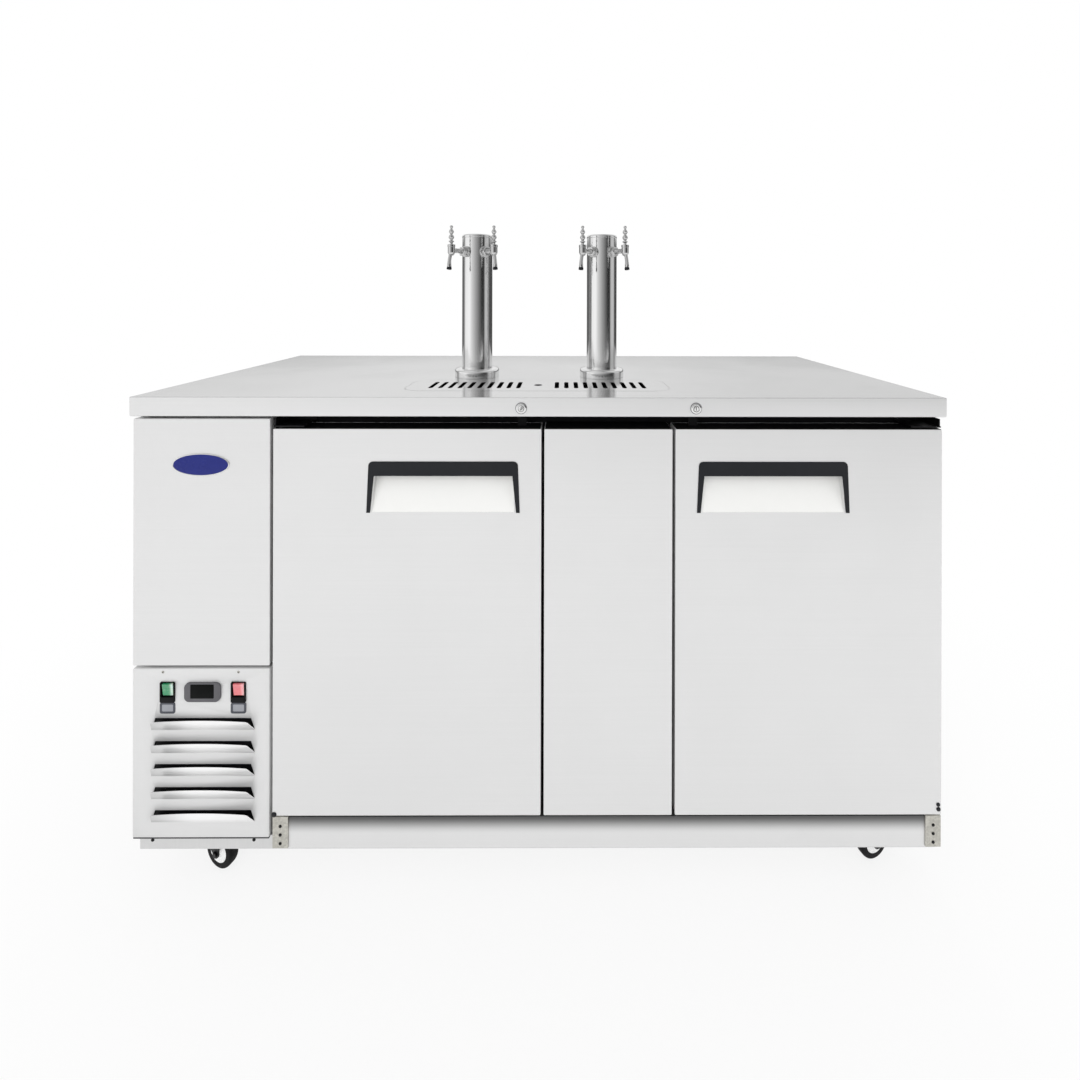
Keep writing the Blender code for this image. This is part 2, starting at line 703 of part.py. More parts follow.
def make_cabinet():
    """The outer case, the insulated box, the face frame and the base that carries them."""
    half = BODY_WIDTH / 2
    cover_back = FACE_SETBACK + COVER_RETURN + GAP
    path = [
        (-half + CASE_FLANGE, behind(cover_back)),
        (-half, behind(cover_back)),
        (-half, behind(BODY_BACK)),
        (half, behind(BODY_BACK)),
        (half, behind(FRAME_FRONT)),
    ]
    bm = bmesh.new()
    prism(bm, folded(path, -CASE_SHEET), "Z", BODY_BOTTOM, CASE_TOP)
    case = piece("cabinet_case", bm, PALE_STEEL)
    cut(case, back_slots, COVER_LEFT + BACK_VENT_MARGIN, BOX_LEFT - BACK_VENT_MARGIN)

    bm = bmesh.new()
    box(bm, (BOX_LEFT, behind(LINER_FRONT), BODY_BOTTOM), (BOX_RIGHT, behind(LINER_BACK), CEILING_BOTTOM - GAP))
    liner = piece("insulated_liner", bm, WHITE_LINER)
    cut(liner, box, (BOX_LEFT + LINER_WALL, behind(LINER_FRONT - OVERRUN), BODY_BOTTOM + LINER_FLOOR),
        (BOX_RIGHT - LINER_WALL, behind(LINER_BACK - LINER_WALL), CASE_TOP))
    bm = bmesh.new()
    box(bm, (BOX_LEFT, behind(LINER_FRONT), CEILING_BOTTOM), (BOX_RIGHT, behind(LINER_BACK), CASE_TOP))
    ceiling = piece("insulated_liner_top", bm, WHITE_LINER)
    low, high = CEILING_BOTTOM - OVERRUN, CASE_TOP + OVERRUN
    tower_y, drain_y = behind(TOWER_BEHIND), behind(DRAIN_FRONT + DRAIN_DEPTH / 2)
    for x, y, width in (
        (TOWER_X - TOWER_OFFSET, tower_y, LINE_CUTOUT), (TOWER_X + TOWER_OFFSET, tower_y, LINE_CUTOUT),
        (DRAIN_X, drain_y, DRAIN_CUTOUT),
    ):
        half = width / 2
        cut(ceiling, box, (x - half, y - half, low), (x + half, y + half, high))

    bm = bmesh.new()
    box(bm, (BOX_LEFT, behind(FRAME_FRONT), BODY_BOTTOM),
        (BOX_RIGHT, behind(FRAME_FRONT + FRAME_DEPTH), CASE_TOP))
    frame = piece("front_frame", bm, PALE_STEEL)
    for span in DOOR_SPANS.values():
        cut(frame, box, (span[0] + OPENING_INSET, behind(FRAME_FRONT - OVERRUN), OPENING_BOTTOM),
            (span[1] - OPENING_INSET, behind(LINER_FRONT + OVERRUN), OPENING_TOP))


def make_base():
    """The base frame: an inverted tray with a pad over each caster."""
    front = KICK_SETBACK + SHEET + GAP
    depth = BASE_BACK - front
    centre = (0, behind(front + depth / 2))

    def loop(inset, height):
        corner = max(WORKTOP_CORNER - inset, LEAST_CORNER)
        outline = rounded_outline(BASE_WIDTH - 2 * inset, depth - 2 * inset, corner, BEND_STEPS, centre)
        return [placed("Z", u, v, height) for u, v in outline]

    bm = bmesh.new()
    loft(bm, [
        loop(0, BASE_TOP),
        loop(0, BASE_BOTTOM),
        loop(CASE_SHEET, BASE_BOTTOM),
        loop(CASE_SHEET, BASE_TOP - CASE_SHEET),
    ])
    base = piece("base_frame", bm, PALE_STEEL)
    for x, y in caster_places().values():
        reach = CASTER_PAD / 2
        weld(base, box, (x - reach, y - reach, PAD_BOTTOM), (x + reach, y + reach, BASE_TOP - CASE_SHEET / 2))
        bore, kingpin = KINGPIN_RADIUS + PIN_CLEARANCE, Matrix.Translation((x, y, PAD_BOTTOM))
        cut(base, rod, bore, -OVERRUN, PAD_HEIGHT - CASE_SHEET, SMALL_STEPS, kingpin)


def caster_places():
    """Where each caster swivels."""
    left = -BASE_WIDTH / 2 + CASTER_INSET_X
    right = BASE_WIDTH / 2 - CASTER_INSET_X
    return {
        "front_left": (left, behind(CASTER_FRONT)),
        "front_right": (right, behind(CASTER_FRONT)),
        "back_left": (left, behind(CASTER_BACK)),
        "back_right": (right, behind(CASTER_BACK)),
    }


def across(frame, place_u, place_z):
    """A frame whose Z axis runs across a caster, through a place of its side view."""
    return frame @ Matrix.Translation((place_u, 0, place_z)) @ Matrix.Rotation(math.pi / 2, 4, "X")


def fork_side_view():
    """The side view of a caster's fork: crown, leg and axle eye."""
    outline = [
        (-CROWN_LENGTH, CROWN_BOTTOM), (-CROWN_LENGTH, FORK_TOP), (CROWN_LENGTH, FORK_TOP),
        (CROWN_LENGTH + FORK_EYE, CROWN_BOTTOM),
    ]
    eye = arc((CASTER_TRAIL, WHEEL_RADIUS), FORK_EYE, 0, -180, SMALL_STEPS // 2)
    return (outline + eye)[::-1]


def fork_slot(bm, frame):
    """The room for the wheel between the fork's legs, open past the crown's end."""
    half = FORK_INNER / 2
    reach = CROWN_LENGTH + FORK_INNER * 2
    slot = [(-reach, -OVERRUN), (reach, -OVERRUN), (reach, BASE_TOP), (CROWN_LENGTH, BASE_TOP)]
    slot += [(CROWN_LENGTH, CROWN_BOTTOM), (-reach, CROWN_BOTTOM)]
    prism(bm, slot, "Y", -half, half)
    bmesh.ops.transform(bm, matrix=frame, verts=bm.verts)


def make_casters():
    """Four swivel casters, each a fork and a wheel."""
    half_fork = FORK_INNER / 2 + FORK_SHEET
    pin_end = half_fork + FORK_SHEET / 2
    for name, (x, y) in caster_places().items():
        turn = Matrix.Rotation(math.radians(CASTER_TRAIL_ANGLES[name]), 4, "Z")
        frame = Matrix.Translation((x, y, 0)) @ turn
        bm = bmesh.new()
        prism(bm, fork_side_view(), "Y", -half_fork, half_fork)
        bmesh.ops.transform(bm, matrix=frame, verts=bm.verts)
        fork = piece(f"caster_fork_{name}", bm, BLACK_STEEL, (x, y, FORK_TOP))
        cut(fork, fork_slot, frame)
        swivel = [
            (0, FORK_TOP - CROWN_HEIGHT / 2), (RACE_RADIUS, FORK_TOP - CROWN_HEIGHT / 2),
            (RACE_RADIUS, PAD_BOTTOM - GAP), (KINGPIN_RADIUS, PAD_BOTTOM - GAP),
            (KINGPIN_RADIUS, PAD_BOTTOM + KINGPIN_RISE - GAP), (0, PAD_BOTTOM + KINGPIN_RISE - GAP),
        ]
        weld(fork, turned, swivel, SMALL_STEPS, frame)
        axle = across(frame, CASTER_TRAIL, WHEEL_RADIUS)
        weld(fork, rod, AXLE_RADIUS, -pin_end, pin_end, TINY_STEPS, axle)
        make_wheel(name, axle)


def make_wheel(name, axle):
    """A caster wheel: hub, dished web and tread, bored for its axle."""
    hub, tread, web = FORK_INNER / 2 - GAP, TREAD_WIDTH / 2, WEB_WIDTH / 2
    bore = AXLE_RADIUS + PIN_CLEARANCE
    half = [
        (bore, hub), (HUB_RADIUS, hub), (HUB_RADIUS, web), (RIM_RADIUS, web),
        (WHEEL_RADIUS - TREAD_CORNER, tread), (WHEEL_RADIUS, tread - TREAD_CORNER),
    ]
    profile = half + [(radius, -side) for radius, side in half[::-1]]
    bm = bmesh.new()
    turned(bm, profile, WHEEL_STEPS, axle, hollow=True)
    piece(f"caster_wheel_{name}", bm, BLACK_RUBBER, axle.translation, smooth=True)


def make_front_panels():
    """The kick plate, the centre panel and the two covers of the machine bay."""
    frame_face = FRAME_FRONT - GAP
    face, back = behind(KICK_SETBACK), behind(frame_face)
    path = [(face, KICK_BOTTOM), (face, KICK_TOP), (back, KICK_TOP)]
    bm = bmesh.new()
    prism(bm, folded(path, -SHEET), "X", LEFT_DOOR_LEFT, RIGHT_DOOR_RIGHT)
    kick = piece("kick_plate", bm, PALE_STEEL)
    weld(kick, box, (RIGHT_DOOR_RIGHT - SHEET, behind(KICK_SETBACK + SHEET / 2), KICK_BOTTOM),
         (RIGHT_DOOR_RIGHT, behind(frame_face), KICK_TOP - SHEET / 2))

    bm = bmesh.new()
    sheet_pan(bm, (PANEL_LEFT, PANEL_RIGHT), (DOOR_BOTTOM, DOOR_TOP), FACE_SETBACK, frame_face, SHEET)
    piece("centre_panel", bm, PALE_STEEL)

    covers = {
        "upper_cover": (COVER_SPLIT + COVER_SPLIT_GAP / 2, CASE_TOP - COVER_TOP_GAP),
        "louvre_panel": (BODY_BOTTOM + GAP, COVER_SPLIT - COVER_SPLIT_GAP / 2),
    }
    for name, heights in covers.items():
        bm = bmesh.new()
        sheet_pan(bm, (COVER_LEFT, COVER_RIGHT), heights, FACE_SETBACK, FACE_SETBACK + COVER_RETURN, SHEET)
        cover = piece(name, bm, PALE_STEEL)
        weld(cover, box, (BOX_LEFT, behind(FACE_SETBACK + COVER_RETURN / 2), heights[0] + SHEET),
             (COVER_RIGHT, behind(frame_face), heights[1] - SHEET))
        if name == "louvre_panel":
            cut(cover, louvre_holes)
            weld(cover, louvre_flaps)
            cut(cover, control_holes)


def louvre_heights():
    """The fold line and the top edge of each louvre, from the top one down."""
    tops = [LOUVRE_TOP - LOUVRE_PITCH * louvre for louvre in range(LOUVRES)]
    return [(top - LOUVRE_HEIGHT, top) for top in tops]


def louvre_holes(bm):
    """The slits that the louvres leave in the panel: each narrows to its top."""
    half_foot, half_top = LOUVRE_WIDTH / 2, LOUVRE_WIDTH / 2 - LOUVRE_TAPER
    for fold, top in louvre_heights():
        outline = [
            (CONTROLS_X - half_foot, fold), (CONTROLS_X + half_foot, fold),
            (CONTROLS_X + half_top, top), (CONTROLS_X - half_top, top),
        ]
        prism(bm, outline, "Y", behind(FACE_SETBACK - OVERRUN), behind(FACE_SETBACK + OVERRUN))


def louvre_flaps(bm):
    """The louvres: flaps bent forward along their fold lines, so that they open upwards."""
    face, proud = FACE_SETBACK, FACE_SETBACK - LOUVRE_PROUD
    half_foot, half_top = LOUVRE_WIDTH / 2, LOUVRE_WIDTH / 2 - LOUVRE_TIP_INSET
    for fold, top in louvre_heights():
        line = [(behind(face), fold - SHEET), (behind(face), fold), (behind(proud), top)]
        section = folded(line, -SHEET)
        loops = []
        for side in (-1, 1):
            widths = (half_foot, half_foot, half_top, half_top, half_foot, half_foot)
            loops.append([(CONTROLS_X + side * w, y, z) for w, (y, z) in zip(widths, section)])
        loft(bm, loops)


def control_holes(bm):
    """The panel's cut-outs for the two switches and the temperature controller."""
    low, high = behind(FACE_SETBACK - OVERRUN), behind(FACE_SETBACK + OVERRUN)
    half_w = SWITCH_WIDTH / 2 - SWITCH_BODY_INSET + HOLE_CLEARANCE
    half_h = SWITCH_HEIGHT / 2 - SWITCH_BODY_INSET + HOLE_CLEARANCE
    for offset in SWITCH_PLACES.values():
        x = CONTROLS_X + offset
        box(bm, (x - half_w, low, CONTROLS_Z - half_h), (x + half_w, high, CONTROLS_Z + half_h))
    half_w = CONTROLLER_BODY_WIDTH / 2 + HOLE_CLEARANCE
    half_h = CONTROLLER_BODY_HEIGHT / 2 + HOLE_CLEARANCE
    box(bm, (CONTROLS_X - half_w, low, CONTROLS_Z - half_h), (CONTROLS_X + half_w, high, CONTROLS_Z + half_h))


def bezel_body(bm, x, bezel, body, corner, proud, depth):
    """A panel-mounted housing: a bezel in front of the panel, and a smaller body behind it."""
    edge = corner * BEZEL_EDGE_SHARE

    def loop(size, radius, place):
        outline = rounded_outline(*size, radius, CORNER_STEPS, (x, CONTROLS_Z))
        return [placed("Y", u, v, behind(place)) for u, v in outline]

    front, back = FACE_SETBACK - proud, FACE_SETBACK - GAP
    shrunk = (bezel[0] - 2 * edge, bezel[1] - 2 * edge)
    loft(bm, [
        loop(shrunk, corner - edge, front),
        loop(bezel, corner, front + edge),
        loop(bezel, corner, back),
        loop(body, edge, back),
        loop(body, edge, FACE_SETBACK + depth),
    ])


def make_controls():
    """Two rocker switches and the controller between them."""
    bezel = (SWITCH_WIDTH, SWITCH_HEIGHT)
    body = (SWITCH_WIDTH - 2 * SWITCH_BODY_INSET, SWITCH_HEIGHT - 2 * SWITCH_BODY_INSET)
    rocker_z = CONTROLS_Z + ROCKER_RISE
    pivot_y = behind(FACE_SETBACK + ROCKER_PIVOT_BEHIND_FACE)
    half_w, half_h = ROCKER_WIDTH / 2, ROCKER_HEIGHT / 2
    lenses = {"left": GREEN_LENS, "right": RED_LENS}
    for side, offset in SWITCH_PLACES.items():
        x = CONTROLS_X + offset
        bm = bmesh.new()
        bezel_body(bm, x, bezel, body, SWITCH_CORNER, SWITCH_PROUD, SWITCH_BODY_DEPTH)
        housing = piece(f"switch_housing_{side}", bm, BLACK_PLASTIC)
        well_half_h = half_h + ROCKER_SWING_GAP
        mouth = FACE_SETBACK - SWITCH_PROUD
        cut(housing, box, (x - half_w - GAP, behind(mouth - OVERRUN), rocker_z - well_half_h),
            (x + half_w + GAP, behind(mouth + ROCKER_WELL_DEPTH), rocker_z + well_half_h))

        back_half = half_h * ROCKER_BACK_SHARE
        section = [
            (-ROCKER_FRONT, half_h), (-ROCKER_FRONT + ROCKER_DISH, 0), (-ROCKER_FRONT, -half_h),
            (0, -half_h), (ROCKER_BACK, -back_half), (ROCKER_BACK, back_half), (0, half_h),
        ]
        bm = bmesh.new()
        prism(bm, section, "X", x - half_w, x + half_w)
        tilt = Matrix.Translation((0, pivot_y, rocker_z)) @ Matrix.Rotation(math.radians(ROCKER_TILT), 4, "X")
        bmesh.ops.transform(bm, matrix=tilt, verts=bm.verts)
        piece(f"rocker_{side}", bm, lenses[side], (x, pivot_y, rocker_z))

    bm = bmesh.new()
    bezel, body = (CONTROLLER_WIDTH, CONTROLLER_HEIGHT), (CONTROLLER_BODY_WIDTH, CONTROLLER_BODY_HEIGHT)
    bezel_body(bm, CONTROLS_X, bezel, body, CONTROLLER_CORNER, CONTROLLER_PROUD, CONTROLLER_BODY_DEPTH)
    controller = piece("controller_housing", bm, GREY_PLASTIC)
    front = FACE_SETBACK - CONTROLLER_PROUD
    half_w, low = WINDOW_WIDTH / 2, CONTROLS_Z + WINDOW_RISE - WINDOW_HEIGHT / 2
    cut(controller, box, (CONTROLS_X - half_w, behind(front - OVERRUN), low),
        (CONTROLS_X + half_w, behind(front + WINDOW_DEPTH), low + WINDOW_HEIGHT))


def pivot_x(side):
    """The X of a door's hinge line."""
    span = DOOR_SPANS[side]
    return span[0] + PIVOT_FROM_EDGE if side == "left" else span[1] - PIVOT_FROM_EDGE


def make_hinges():
    """Lower hinges on the kick plate and upper hinges on the face frame, with their pins."""
    plate = KICK_SETBACK - GAP - HINGE_GAUGE
    arm_top = LOWER_ARM_BOTTOM + HINGE_GAUGE
    upper_bottom = DOOR_TOP + GAP + UPPER_HINGE_BOSS
    frame_face = FRAME_FRONT - GAP
    for side, direction in HINGE_SIDES.items():
        edge = DOOR_SPANS[side][0] if side == "left" else DOOR_SPANS[side][1]
        pivot = Matrix.Translation((pivot_x(side), behind(FACE_SETBACK + PIVOT_BEHIND_FACE), 0))
        path = [
            (behind(plate), LOWER_HINGE_BOTTOM), (behind(plate), arm_top),
            (behind(plate + LOWER_HINGE_REACH), arm_top),
        ]
        bm = bmesh.new()
        far_edge = edge - direction * LOWER_HINGE_WIDTH
        prism(bm, folded(path, -HINGE_GAUGE), "X", min(edge, far_edge), max(edge, far_edge))
        lower = piece(f"lower_hinge_{side}", bm, ZINC)
        pin = [
            (0, arm_top - HINGE_GAUGE / 2), (HINGE_BOSS_RADIUS, arm_top - HINGE_GAUGE / 2),
            (HINGE_BOSS_RADIUS, arm_top + HINGE_BOSS), (HINGE_PIN_RADIUS, arm_top + HINGE_BOSS),
            (HINGE_PIN_RADIUS, arm_top + HINGE_BOSS + HINGE_PIN_LENGTH),
            (0, arm_top + HINGE_BOSS + HINGE_PIN_LENGTH),
        ]
        weld(lower, turned, pin, SMALL_STEPS, pivot)

        path = [
            (behind(UPPER_HINGE_FRONT), upper_bottom), (behind(frame_face), upper_bottom),
            (behind(frame_face), upper_bottom + UPPER_HINGE_RISE),
        ]
        bm = bmesh.new()
        far_edge = edge - direction * UPPER_HINGE_WIDTH
        prism(bm, folded(path, HINGE_GAUGE), "X", min(edge, far_edge), max(edge, far_edge))
        upper = piece(f"upper_hinge_{side}", bm, BLACK_STEEL)
        inner_edge = edge - direction * HINGE_GAUGE
        weld(upper, box,
             (min(edge, inner_edge), behind(UPPER_HINGE_SIDE_FRONT), upper_bottom + HINGE_GAUGE / 2),
             (max(edge, inner_edge), behind(frame_face - HINGE_GAUGE / 2), upper_bottom + UPPER_HINGE_RISE))
        pin = [
            (0, DOOR_TOP - HINGE_PIN_LENGTH), (HINGE_PIN_RADIUS, DOOR_TOP - HINGE_PIN_LENGTH),
            (HINGE_PIN_RADIUS, DOOR_TOP + GAP), (HINGE_BOSS_RADIUS, DOOR_TOP + GAP),
            (HINGE_BOSS_RADIUS, upper_bottom + HINGE_GAUGE / 2), (0, upper_bottom + HINGE_GAUGE / 2),
        ]
        weld(upper, turned, pin, SMALL_STEPS, pivot)


def handle_centre(side):
    """The X of a handle's middle, counted from its door's free edge."""
    span = DOOR_SPANS[side]
    return span[1] - HANDLE_EDGE_OFFSET if side == "left" else span[0] + HANDLE_EDGE_OFFSET


def pocket_line(extra=0):
    """The pocket's section from its foot to its roof, grown outwards by an extra."""
    top = DOOR_TOP - HANDLE_TOP_BELOW_DOOR - POCKET_TOP_COVER
    foot = DOOR_TOP - HANDLE_TOP_BELOW_DOOR - HANDLE_HEIGHT + POCKET_FOOT
    knee = DOOR_TOP - HANDLE_TOP_BELOW_DOOR - HANDLE_BAR
    face, floor = behind(FACE_SETBACK), behind(FACE_SETBACK + POCKET_DEPTH)
    line = [(face, foot), (floor, knee), (floor, top), (face, top)]
    return offset_line(line, -extra) if extra else line


def pocket(bm, side, extra, front):
    """The pocket's room, or with an extra the outside of its walls, from a front plane backwards."""
    line = pocket_line(extra)
    section = [(front, line[0][1])] + line[:-1] + [(front, line[-1][1])]
    if line[0][0] < front:
        section = [(front, line[0][1])] + line[1:-1] + [(front, line[-1][1])]
    half = HANDLE_WIDTH / 2 - POCKET_SIDE_COVER + extra
    prism(bm, section, "X", handle_centre(side) - half, handle_centre(side) + half)


def make_doors():
    """Each door: skin, insulated liner, gasket, and a white pocket behind a black handle frame."""
    for side, (left, right) in DOOR_SPANS.items():
        pivot = (pivot_x(side), behind(FACE_SETBACK + PIVOT_BEHIND_FACE), DOOR_BOTTOM)
        pin_hole = Matrix.Translation((pivot[0], pivot[1], 0))
        bore = HINGE_PIN_RADIUS + PIN_CLEARANCE
        flange_front = DOOR_BACK - HINGE_GAUGE
        bm = bmesh.new()
        sheet_pan(bm, (left, right), (DOOR_BOTTOM, DOOR_TOP), FACE_SETBACK, flange_front - GAP, DOOR_SHEET)
        skin = piece(f"door_skin_{side}", bm, PALE_STEEL, pivot)
        cut(skin, pocket, side, POCKET_WALL + GAP, behind(FACE_SETBACK - OVERRUN))
        for end in (DOOR_BOTTOM, DOOR_TOP):
            cut(skin, rod, bore, end - OVERRUN, end + OVERRUN, SMALL_STEPS, pin_hole)
        make_door_liner(side, (left, right), pivot, flange_front)
        make_gasket(side, (left, right), pivot)
        make_pocket(side, pivot)
        make_handle(side, pivot)
        make_strike(side, pivot)


def door_loop(span, inset, depth, corner):
    """A round-cornered loop that follows a door's edge, drawn in by an inset."""
    width, height = span[1] - span[0], DOOR_TOP - DOOR_BOTTOM
    centre = ((span[0] + span[1]) / 2, (DOOR_BOTTOM + DOOR_TOP) / 2)
    outline = rounded_outline(width - 2 * inset, height - 2 * inset, corner, CORNER_STEPS, centre)
    return [placed("Y", u, v, behind(depth)) for u, v in outline]


def make_door_liner(side, span, pivot, flange_front):
    """The insulated inside of a door: a block in the skin, a flange over its edge and a raised field."""
    inset = DOOR_SHEET + GAP
    bm = bmesh.new()
    loft(bm, [
        door_loop(span, inset, FACE_SETBACK + DOOR_SHEET + GAP, BEND),
        door_loop(span, inset, flange_front, BEND),
        door_loop(span, 0, flange_front, BEND),
        door_loop(span, 0, DOOR_BACK, BEND),
        door_loop(span, DIKE_INSET, DOOR_BACK, DIKE_HEIGHT),
        door_loop(span, DIKE_INSET + DIKE_DRAFT, DOOR_BACK + DIKE_HEIGHT, DIKE_HEIGHT),
    ])
    liner = piece(f"door_liner_{side}", bm, WHITE_LINER, pivot)
    cut(liner, pocket, side, DOOR_SHEET + GAP, behind(FACE_SETBACK - OVERRUN))
    pin_hole = Matrix.Translation((pivot[0], pivot[1], 0))
    depth = HINGE_PIN_LENGTH + OVERRUN / 2
    bore = HINGE_PIN_RADIUS + PIN_CLEARANCE
    cut(liner, rod, bore, DOOR_BOTTOM - OVERRUN, DOOR_BOTTOM + depth, SMALL_STEPS, pin_hole)
    cut(liner, rod, bore, DOOR_TOP - depth, DOOR_TOP + OVERRUN, SMALL_STEPS, pin_hole)


def make_gasket(side, span, pivot):
    """The door's seal: a ring with a bellows waist that meets the face frame."""
    front, back = DOOR_BACK + GAP, DOOR_BACK + GAP + GASKET_DEPTH
    waist = [(GASKET_WAIST * u, front + (back - front) * v) for u, v in GASKET_SHARES]
    section = [(GASKET_INSET + inset, depth) for inset, depth in waist]
    section += [(GASKET_INSET + GASKET_WIDTH - inset, depth) for inset, depth in waist[::-1]]
    bm = bmesh.new()
    loft(bm, [door_loop(span, inset, depth, GASKET_INSET / 2) for inset, depth in section], closed=True)
    piece(f"door_gasket_{side}", bm, BLACK_RUBBER, pivot)


def make_pocket(side, pivot):
    """The moulded pocket that fingers reach into: a box open at the door's face."""
    bm = bmesh.new()
    pocket(bm, side, POCKET_WALL, behind(FACE_SETBACK))
    made = piece(f"handle_pocket_{side}", bm, WHITE_LINER, pivot)
    cut(made, pocket, side, 0, behind(FACE_SETBACK - OVERRUN))


def make_handle(side, pivot):
    """The black frame round the pocket: a top bar to grip and two legs that thin towards the foot."""
    x = handle_centre(side)
    top = DOOR_TOP - HANDLE_TOP_BELOW_DOOR
    foot, bar_bottom = top - HANDLE_HEIGHT, top - HANDLE_BAR
    half_top, half_foot = HANDLE_WIDTH / 2, HANDLE_WIDTH / 2 + HANDLE_FLARE
    corner = HANDLE_CORNER
    steps = CORNER_STEPS + 1
    outline = [(x + half_foot, foot)]
    outline += arc((x + half_top - corner, top - corner), corner, 0, 90, steps)
    outline += arc((x - half_top + corner, top - corner), corner, 90, 180, steps)
    outline += [
        (x - half_foot, foot),
        (x - half_foot + HANDLE_LEG_FOOT, foot),
        (x - half_top + HANDLE_LEG_TOP, bar_bottom),
        (x + half_top - HANDLE_LEG_TOP, bar_bottom),
        (x + half_foot - HANDLE_LEG_FOOT, foot),
    ]
    back = behind(FACE_SETBACK - GAP)
    front = behind(FACE_SETBACK - GAP - HANDLE_PLATE)
    bm = bmesh.new()
    prism(bm, outline, "Y", front, back)
    handle = piece(f"door_handle_{side}", bm, BLACK_PLASTIC, pivot)
    reach = HANDLE_WIDTH / 2 - HANDLE_LEG_TOP - GRIP_CLEARANCE
    weld(handle, box, (x - reach, behind(FACE_SETBACK - GAP - HANDLE_PLATE / 2), bar_bottom),
         (x + reach, behind(FACE_SETBACK + HANDLE_GRIP_DEPTH), bar_bottom + HANDLE_GRIP_THICKNESS))


def lock_x(side):
    """The X of a lock, counted from its door's free edge."""
    span = DOOR_SPANS[side]
    return span[1] - LOCK_FROM_DOOR_EDGE if side == "left" else span[0] + LOCK_FROM_DOOR_EDGE


def lock_frame(side, depth):
    """A frame on a lock's axis whose Z axis points backwards."""
    return turned_frame((lock_x(side), behind(depth), LOCK_Z), (0, 1, 0))


def cam_back():
    """How far behind the worktop's edge the cam's back face lies."""
    return LOCK_LENGTH + GAP + LOCK_CAM_GAUGE


def make_strike(side, pivot):
    """The bracket on a door's top edge that the lock's cam comes down in front of."""
    x, front, foot = lock_x(side), cam_back() + STRIKE_CLEARANCE, DOOR_TOP + GAP
    path = [
        (behind(front), DOOR_TOP + STRIKE_HEIGHT), (behind(front), foot), (behind(front + STRIKE_FOOT), foot),
    ]
    bm = bmesh.new()
    prism(bm, folded(path, SHEET), "X", x - STRIKE_WIDTH / 2, x + STRIKE_WIDTH / 2)
    piece(f"lock_strike_{side}", bm, ZINC, pivot)


def make_locks():
    """The cam locks: a nutted barrel in the lip, and the plug that turns its cam."""
    for side in HINGE_SIDES:
        frame = lock_frame(side, 0)
        bore = LOCK_PLUG_RADIUS + PIN_CLEARANCE
        front = -GAP - LOCK_FLANGE
        nut = SHEET + GAP
        profile = [
            (bore, front), (LOCK_FLANGE_RADIUS, front), (LOCK_FLANGE_RADIUS, -GAP),
            (LOCK_BARREL_RADIUS, -GAP), (LOCK_BARREL_RADIUS, nut), (LOCK_NUT_RADIUS, nut),
            (LOCK_NUT_RADIUS, nut + LOCK_NUT), (LOCK_BARREL_RADIUS, nut + LOCK_NUT),
            (LOCK_BARREL_RADIUS, LOCK_LENGTH), (bore, LOCK_LENGTH),
        ]
        bm = bmesh.new()
        turned(bm, profile, MEDIUM_STEPS, frame, hollow=True)
        piece(f"lock_housing_{side}", bm, POLISHED_STEEL, smooth=True)

        bm = bmesh.new()
        plug_front, plug_back = front - LOCK_PLUG_PROUD, cam_back() - LOCK_CAM_GAUGE / 2
        rod(bm, LOCK_PLUG_RADIUS, plug_front, plug_back, MEDIUM_STEPS, frame)
        x = lock_x(side)
        plug = piece(f"lock_plug_{side}", bm, POLISHED_STEEL, (x, behind(0), LOCK_Z))
        half = LOCK_CAM_WIDTH / 2
        outline = arc((x + LOCK_CAM_LENGTH - half, LOCK_Z), half, -90, 90, SMALL_STEPS // 2)
        outline += arc((x, LOCK_Z), half, 90, 270, SMALL_STEPS // 2)
        weld(plug, prism, outline, "Y", behind(LOCK_LENGTH + GAP), behind(cam_back()))
        half_w, half_h = KEY_SLOT_WIDTH / 2, KEY_SLOT_HEIGHT / 2
        cut(plug, box, (x - half_w, behind(plug_front - OVERRUN), LOCK_Z - half_h),
            (x + half_w, behind(plug_front + KEY_SLOT_DEPTH), LOCK_Z + half_h))


def make_towers():
    """Two draught towers: a flanged, lidded column with two faucets each."""
    names = iter(FAUCET_NAMES)
    for side, direction in HINGE_SIDES.items():
        x, y = TOWER_X + direction * TOWER_OFFSET, behind(TOWER_BEHIND)
        foot = Matrix.Translation((x, y, WORKTOP_TOP + GAP))
        bore = COLUMN_RADIUS - COLUMN_WALL
        rim = COLUMN_RADIUS + CAP_OVERHANG
        centre = (FLANGE_RADIUS - FLANGE_ROUND, FLANGE_HEIGHT - FLANGE_ROUND)
        shoulder = arc(centre, FLANGE_ROUND, 0, 90, FLANGE_ROUND_STEPS)
        profile = [
            (0, COLUMN_HEIGHT - CAP_SPIGOT), (bore, COLUMN_HEIGHT - CAP_SPIGOT), (bore, 0),
            (FLANGE_RADIUS, 0), *shoulder,
            (COLUMN_RADIUS, FLANGE_HEIGHT), (COLUMN_RADIUS, COLUMN_HEIGHT), (rim, COLUMN_HEIGHT),
            (rim, COLUMN_HEIGHT + CAP_HEIGHT * CAP_RIM_SHARE),
            (rim - BEND, COLUMN_HEIGHT + CAP_HEIGHT * CAP_SHOULDER_SHARE), (0, COLUMN_HEIGHT + CAP_HEIGHT),
        ]
        bm = bmesh.new()
        turned(bm, profile, FINE_STEPS, foot)
        column = piece(f"tower_column_{side}", bm, POLISHED_STEEL, smooth=True)
        for spread in (-FAUCET_SPREAD, FAUCET_SPREAD):
            outward = Matrix.Rotation(math.radians(spread - 90), 4, "Z")
            frame = Matrix.Translation((x, y, SHANK_Z)) @ outward
            shank = frame @ turned_frame((0, 0, 0), (1, 0, 0))
            hole = SHANK_RADIUS + PIN_CLEARANCE
            cut(column, rod, hole, bore / 2, COLUMN_RADIUS + OVERRUN, SMALL_STEPS, shank)
            make_faucet(next(names), frame, shank)


